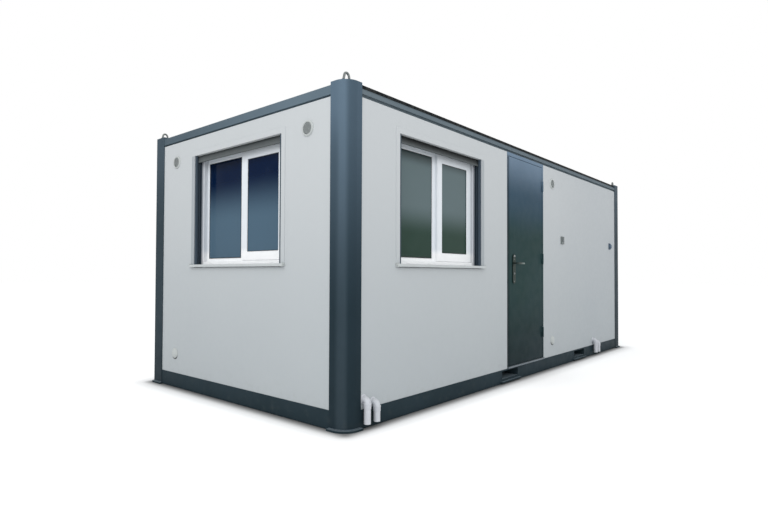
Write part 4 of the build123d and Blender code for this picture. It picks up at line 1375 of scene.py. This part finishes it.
@dataclass
class WallVents:
    """Round louvred vents near the top of the walls and domed covers near the bottom."""

    end_far_y: float = 964.5
    end_near_y: float = -923.5
    front_x: float = 513
    rim: float = 62
    throat: float = 46
    stand: float = 11
    pitch: float = 9
    slat: float = 1.6
    slat_half: float = 4.4
    slat_out: float = 5.2
    lean: float = 38
    upper_height: float = 2182
    lower_height: float = 328
    cover: float = 52
    shade_disc_drop: float = 9

    def build(self, finishes: Finishes) -> None:
        """Builds all vents."""
        self.build_louvred(finishes)
        self.build_covers(finishes)

    def places(self, height: float, upper: bool) -> list[Matrix]:
        """Gives the places of the vents at one height.

        Args:
            height: Height of their middles in millimetres.
            upper: Whether these are the louvred vents, of which there is one more.

        Returns:
            A matrix for each, with its middle at the origin.
        """
        walls = [end_place(self.end_far_y), front_place(self.front_x)]
        if upper:
            walls.append(end_place(self.end_near_y))
        return [wall @ shift(0, height) for wall in walls]

    def build_louvred(self, finishes: Finishes) -> None:
        """Builds the turned rims and the leaning slats behind them."""
        rims = Workpiece()
        slats = Workpiece()
        count = int(2 * self.throat // self.pitch)
        for place in self.places(self.upper_height, True):
            with rims.at(place):
                rims.turned([(self.throat, 2.5), (self.throat, 8.2), (47.2, 10.4), (49.5, self.stand),
                             (53, self.stand), (57.5, 9.2), (60.8, 5.2), (self.rim, 0), (self.throat, 0)],
                            steps=48)
            with slats.at(place):
                slats.turned([(0, 1.0), (self.throat + 0.5, 1.0)], steps=40)
            for number in range(count):
                y = (number - (count - 1) / 2) * self.pitch
                half = math.sqrt(max(self.throat ** 2 - (abs(y) + 2) ** 2, 100)) - 0.6
                leaning = shift(0, y, self.slat_out) @ Matrix.Rotation(math.radians(self.lean), 4, "X")
                with slats.at(place @ leaning):
                    slats.block((-half, -self.slat / 2, -self.slat_half),
                                (half, self.slat / 2, self.slat_half), edge=0.5, segments=1)
        rims.piece("vent_rims", "cabin", finishes.slot("vent_grey"), ["upper_vents"])
        slats.piece("vent_louvres", "cabin", finishes.grille)

    def build_covers(self, finishes: Finishes) -> None:
        """Builds the domed covers and a black disc below each, whose crescent shows as painted shade under
        the dome.
        """
        covers = Workpiece()
        shade_discs = Workpiece()
        for place in self.places(self.lower_height, False):
            with covers.at(place):
                covers.turned([(0, 17), (18, 16.5), (31, 14.6), (41, 11), (47.5, 6.4), (50.4, 2.8),
                               (50.6, 1), (self.cover, 1), (self.cover, 0), (0, 0)], steps=48)
            # Painted shade: a black disc set lower than the dome, so a dark crescent shows under it
            with shade_discs.at(place @ shift(0, -self.shade_disc_drop)):
                shade_discs.turned([(0, 3.6), (47, 3.6), (48, 2.8), (48, -0.2), (0, -0.2)], steps=40)
        covers.piece("vent_covers", "cabin", finishes.slot("vent_grey"), ["lower_vents"])
        shade_discs.piece("vent_cover_shade_discs", "cabin", finishes.rubber)


@dataclass
class Drains:
    """Pairs of drain pipes: an elbow out of the wall, a socket and a plain pipe above the ground."""

    pairs: Pair = (-2782.5, 1948)
    spacing: float = 103
    heights: Pair = (212, 177)
    radius: float = 25
    bore: float = 21.5
    bore_short: float = 4
    neck: float = 24.5
    socket: float = 28.9
    bend: float = 27
    reach: float = 40
    bottom: float = 42

    def build(self, finishes: Finishes) -> None:
        """Builds the pipes, their sockets and the collars on the wall."""
        pipes = Workpiece()
        collar = [(self.neck, 0), (34, 0), (34, 1.6), (32, 3), (26.5, 3.6), (self.neck, 6)]
        sleeve = [(self.neck, -6), (27.6, -5), (self.socket, -3), (self.socket, 3), (27.8, 5), (27.4, 8),
                  (27.4, 34), (26.4, 36), (self.neck, 36)]
        for pair in self.pairs:
            for side, height in zip((-1, 1), self.heights):
                wall = front_place(pair + side * self.spacing / 2)
                fall = height - self.bend - self.bottom
                with pipes.at(wall):
                    pipes.bar(self.radius, (0, height, 0), (0, 0, 1), [
                        Move(run=self.reach - self.bend), Move(turn=90, radius=self.bend, axis=(1, 0, 0)),
                        Move(run=fall)], sides=32, bore=self.bore, bore_depth=fall - self.bore_short)
                sunk = shift(0, height - self.bend, self.reach) @ Matrix.Rotation(math.pi / 2, 4, "X")
                with pipes.at(wall @ sunk):
                    pipes.turned(sleeve, steps=36)
                pipes.studs(wall, [(0, height, 0)], collar, steps=36)
        pipes.piece("drain_pipes", "cabin", finishes.slot("drain_grey"), ["drain_outlets"])


@dataclass
class WallFittings:
    """The light fitting and the power inlet on the front wall."""

    light_x: float = 815
    inlet_x: float = 2625
    height: float = 1524
    lens_low: Triple = (-29, -18, 15)
    lens_high: Triple = (29, 37, 20)
    inlet_flange: float = 6
    grips: int = 16

    def build(self, finishes: Finishes) -> None:
        """Dresses both fittings and builds their small parts."""
        dress(finishes, {"light_box": "box_grey"})
        coat_node("power_inlet", finishes.inlet)
        self.build_light(finishes)
        self.build_inlet(finishes)

    def build_light(self, finishes: Finishes) -> None:
        """Builds the lens of the light fitting and its screws."""
        place = front_place(self.light_x) @ shift(0, self.height)
        lens = Workpiece()
        with lens.at(place):
            lens.block(self.lens_low, self.lens_high, edge=3, segments=3)
        lens.piece("light_lens", "cabin", finishes.lens)
        screws = Workpiece()
        screws.studs(place, [(x, -34, 16) for x in (-30, 30)], FITTING_SCREW)
        screws.piece("light_screws", "cabin", finishes.screw)

    def build_inlet(self, finishes: Finishes) -> None:
        """Builds the grip ribs, the hinge and the screws of the power inlet."""
        place = front_place(self.inlet_x) @ shift(0, self.height)
        work = Workpiece()
        for number in range(self.grips):
            with work.at(place @ Matrix.Rotation(FULL_TURN * number / self.grips, 4, "Z")):
                work.block((30.2, -1.6, 8), (32.4, 1.6, 24), edge=0.8, segments=1)
        with work.at(place):
            work.turned([(0, 30.4), (20, 30.4), (22, 29.6), (22, 29)], steps=32)
            work.block((-16, 30, 6), (16, 40, 15), edge=2.5)
            work.block((-8, -40, 6), (8, -29, 19), edge=2)
        work.piece("inlet_cap_grip", "cabin", finishes.inlet)
        screws = Workpiece()
        screws.studs(place, [(x, y, self.inlet_flange) for x in (-31, 31) for y in (-39, 39)], FITTING_SCREW)
        screws.piece("inlet_screws", "cabin", finishes.screw)


@dataclass(frozen=True)
class Lamp:
    """One large soft lamp.

    Attributes:
        name: Name of the lamp.
        place: Where it hangs, in metres.
        target: Point at which it looks, in metres.
        power: Power in watts.
        width: Width of its square, in metres.
    """

    name: str
    place: Triple
    target: Triple
    power: float
    width: float = 7

    def build(self) -> None:
        """Builds the lamp, which gloss doesn't mirror."""
        data = bpy.data.lights.new(self.name, "AREA")
        data.shape = "SQUARE"
        data.size = self.width
        data.energy = self.power
        lamp = bpy.data.objects.new(self.name, data)
        lamp.location = self.place
        lamp.rotation_euler = (Vector(self.target) - Vector(self.place)).to_track_quat("-Z", "Y").to_euler()
        lamp.visible_glossy = False
        bpy.context.scene.collection.objects.link(lamp)


@dataclass
class Studio:
    """The plain studio: floor, world, lamps and camera, in metres."""

    floor_half: float = 60.0
    floor_share: float = 0.85
    shaded_share: float = 0.22
    shaded_reach: float = 0.12
    floor_glow: float = 0.34
    glow_reach: float = 0.27
    foot_half: Pair = (3.0225, 1.345)
    foot_middle: float = 0.0205
    sky_level: float = 0.82
    sky_colour: tuple[float, ...] = (0.97, 0.985, 1.0, 1.0)
    lamps: tuple[Lamp, ...] = (Lamp("key_lamp", (-9, -3, 7), (0, 0, 1.2), 290),
                               Lamp("fill_lamp", (-3, -10, 7), (-1, 0, 1.2), 170))
    camera_at: Triple = (-5.67866, -3.87385, 1.10181)
    camera_right: Triple = (0.659283, -0.751884, 0.004186)
    camera_up: Triple = (-0.018195, -0.010388, 0.999780)
    camera_forward: Triple = (0.751675, 0.659214, 0.020529)
    lens: float = 25.022
    sensor: float = 36.0
    shift: Pair = (0.01837, 0.00913)
    clip_end: float = 200

    def seen(self, tree: bpy.types.NodeTree) -> bpy.types.NodeSocket:
        """Makes a factor that is 1 for what the camera, gloss or glass sees.

        Args:
            tree: Node tree that gets the nodes.

        Returns:
            Socket with the factor.
        """
        rays = add_node(tree, "ShaderNodeLightPath").outputs
        either = add_node(tree, "ShaderNodeMath", {"operation": "MAXIMUM"}, {
            0: rays["Is Camera Ray"], 1: rays["Is Glossy Ray"]})
        return add_node(tree, "ShaderNodeMath", {"operation": "MAXIMUM"}, {
            0: either.outputs[0], 1: rays["Is Transmission Ray"]}).outputs[0]

    def beyond_foot(self, tree: bpy.types.NodeTree, reach: float, strength: float) -> bpy.types.NodeSocket:
        """Makes a factor that rises on the floor from the cabin's foot outwards.

        Args:
            tree: Node tree that gets the nodes.
            reach: Distance from the foot at which the factor is full, in metres.
            strength: Highest value of the factor.

        Returns:
            Socket with the factor.
        """
        place: Any = add_node(tree, "ShaderNodeTexCoord").outputs["Object"]
        steps: tuple[tuple[str, Inputs], ...] = (
            ("SUBTRACT", {1: (0, self.foot_middle, 0)}), ("ABSOLUTE", {}),
            ("SUBTRACT", {1: (*self.foot_half, 0)}), ("MAXIMUM", {1: (0, 0, 0)}))
        for operation, other in steps:
            place = add_node(tree, "ShaderNodeVectorMath", {"operation": operation},
                             {0: place} | other).outputs[0]
        distance = add_node(tree, "ShaderNodeVectorMath", {"operation": "LENGTH"}, {0: place})
        return add_node(tree, "ShaderNodeMapRange", {"interpolation_type": "SMOOTHSTEP"}, {
            "Value": distance.outputs["Value"], "From Min": 0.0, "From Max": reach,
            "To Min": 0.0, "To Max": strength}).outputs[0]

    def build_floor(self) -> None:
        """Builds the pale floor, which shows white, keeps the cabin's shadow, and has a painted contact
        shadow at the cabin's foot.
        """
        mesh = bmesh.new()
        bmesh.ops.create_grid(mesh, x_segments=1, y_segments=1, size=self.floor_half)
        data = bpy.data.meshes.new("studio_floor")
        mesh.to_mesh(data)
        mesh.free()
        material = bpy.data.materials.new("matt_floor_paint")
        material.use_nodes = True
        tree = material.node_tree
        tree.nodes.clear()
        # Painted contact shadow: the paint darkens and the glow fades out near the cabin's foot
        share = add_node(tree, "ShaderNodeMix", {"data_type": "RGBA"}, {
            MIX_FACTOR: self.beyond_foot(tree, self.shaded_reach, 1.0),
            MIX_BELOW: (self.shaded_share,) * 3 + (1.0,), MIX_ABOVE: (self.floor_share,) * 3 + (1.0,)})
        paint = add_node(tree, "ShaderNodeBsdfDiffuse", inputs={"Color": share.outputs[MIX_RESULT]})
        glow = add_node(tree, "ShaderNodeMath", {"operation": "MULTIPLY"},
                        {0: self.seen(tree), 1: self.beyond_foot(tree, self.glow_reach, self.floor_glow)})
        light = add_node(tree, "ShaderNodeEmission", inputs={"Strength": glow.outputs[0]})
        both = add_node(tree, "ShaderNodeAddShader", inputs={0: paint.outputs[0], 1: light.outputs[0]})
        add_node(tree, "ShaderNodeOutputMaterial", inputs={"Surface": both.outputs[0]})
        data.materials.append(material)
        floor = bpy.data.objects.new("studio_floor", data)
        bpy.context.scene.collection.objects.link(floor)

    def build_world(self) -> None:
        """Builds the even light of the studio and its white background."""
        world = bpy.data.worlds.new("studio_light")
        world.use_nodes = True
        tree = world.node_tree
        tree.nodes.clear()
        even = add_node(tree, "ShaderNodeBackground",
                        inputs={"Color": self.sky_colour, "Strength": self.sky_level})
        white = add_node(tree, "ShaderNodeBackground", inputs={"Color": (1, 1, 1, 1), "Strength": 1.0})
        both = add_node(tree, "ShaderNodeMixShader",
                        inputs={0: self.seen(tree), 1: even.outputs[0], 2: white.outputs[0]})
        add_node(tree, "ShaderNodeOutputWorld", inputs={"Surface": both.outputs[0]})
        bpy.context.scene.world = world

    def build_camera(self) -> None:
        """Builds the camera at the photograph's place and angle."""
        data = bpy.data.cameras.new("photo_camera")
        data.sensor_fit = "HORIZONTAL"
        data.sensor_width = self.sensor
        data.lens = self.lens
        data.shift_x, data.shift_y = self.shift
        data.clip_end = self.clip_end
        camera = bpy.data.objects.new("photo_camera", data)
        back = tuple(-part for part in self.camera_forward)
        turned = Matrix((self.camera_right, self.camera_up, back)).transposed().to_4x4()
        camera.matrix_world = Matrix.Translation(self.camera_at) @ turned
        bpy.context.scene.collection.objects.link(camera)
        bpy.context.scene.camera = camera

    def build(self) -> None:
        """Builds the whole studio."""
        self.build_floor()
        self.build_world()
        for lamp in self.lamps:
            lamp.build()
        self.build_camera()
        bpy.context.scene.view_settings.view_transform = "Standard"


def main() -> None:
    """Builds every sub-assembly in order."""
    logging.basicConfig(level=logging.INFO, format="%(name)s: %(message)s")
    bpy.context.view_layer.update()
    finishes = Finishes()
    assemblies = {
        "steel frame": SteelFrame(),
        "shell": Shell(),
        "front window": WindowUnit("front_window", front_place(FRONT_WINDOW_X), finishes.front_window),
        "end window": WindowUnit("end_window", end_place(END_WINDOW_Y), finishes.end_window),
        "door": DoorUnit(),
        "vents": WallVents(),
        "drains": Drains(),
        "wall fittings": WallFittings(),
    }
    for name, assembly in assemblies.items():
        assembly.build(finishes)
        LOG.info("%s done", name)
    Studio().build()


if __name__ == "__main__":
    main()
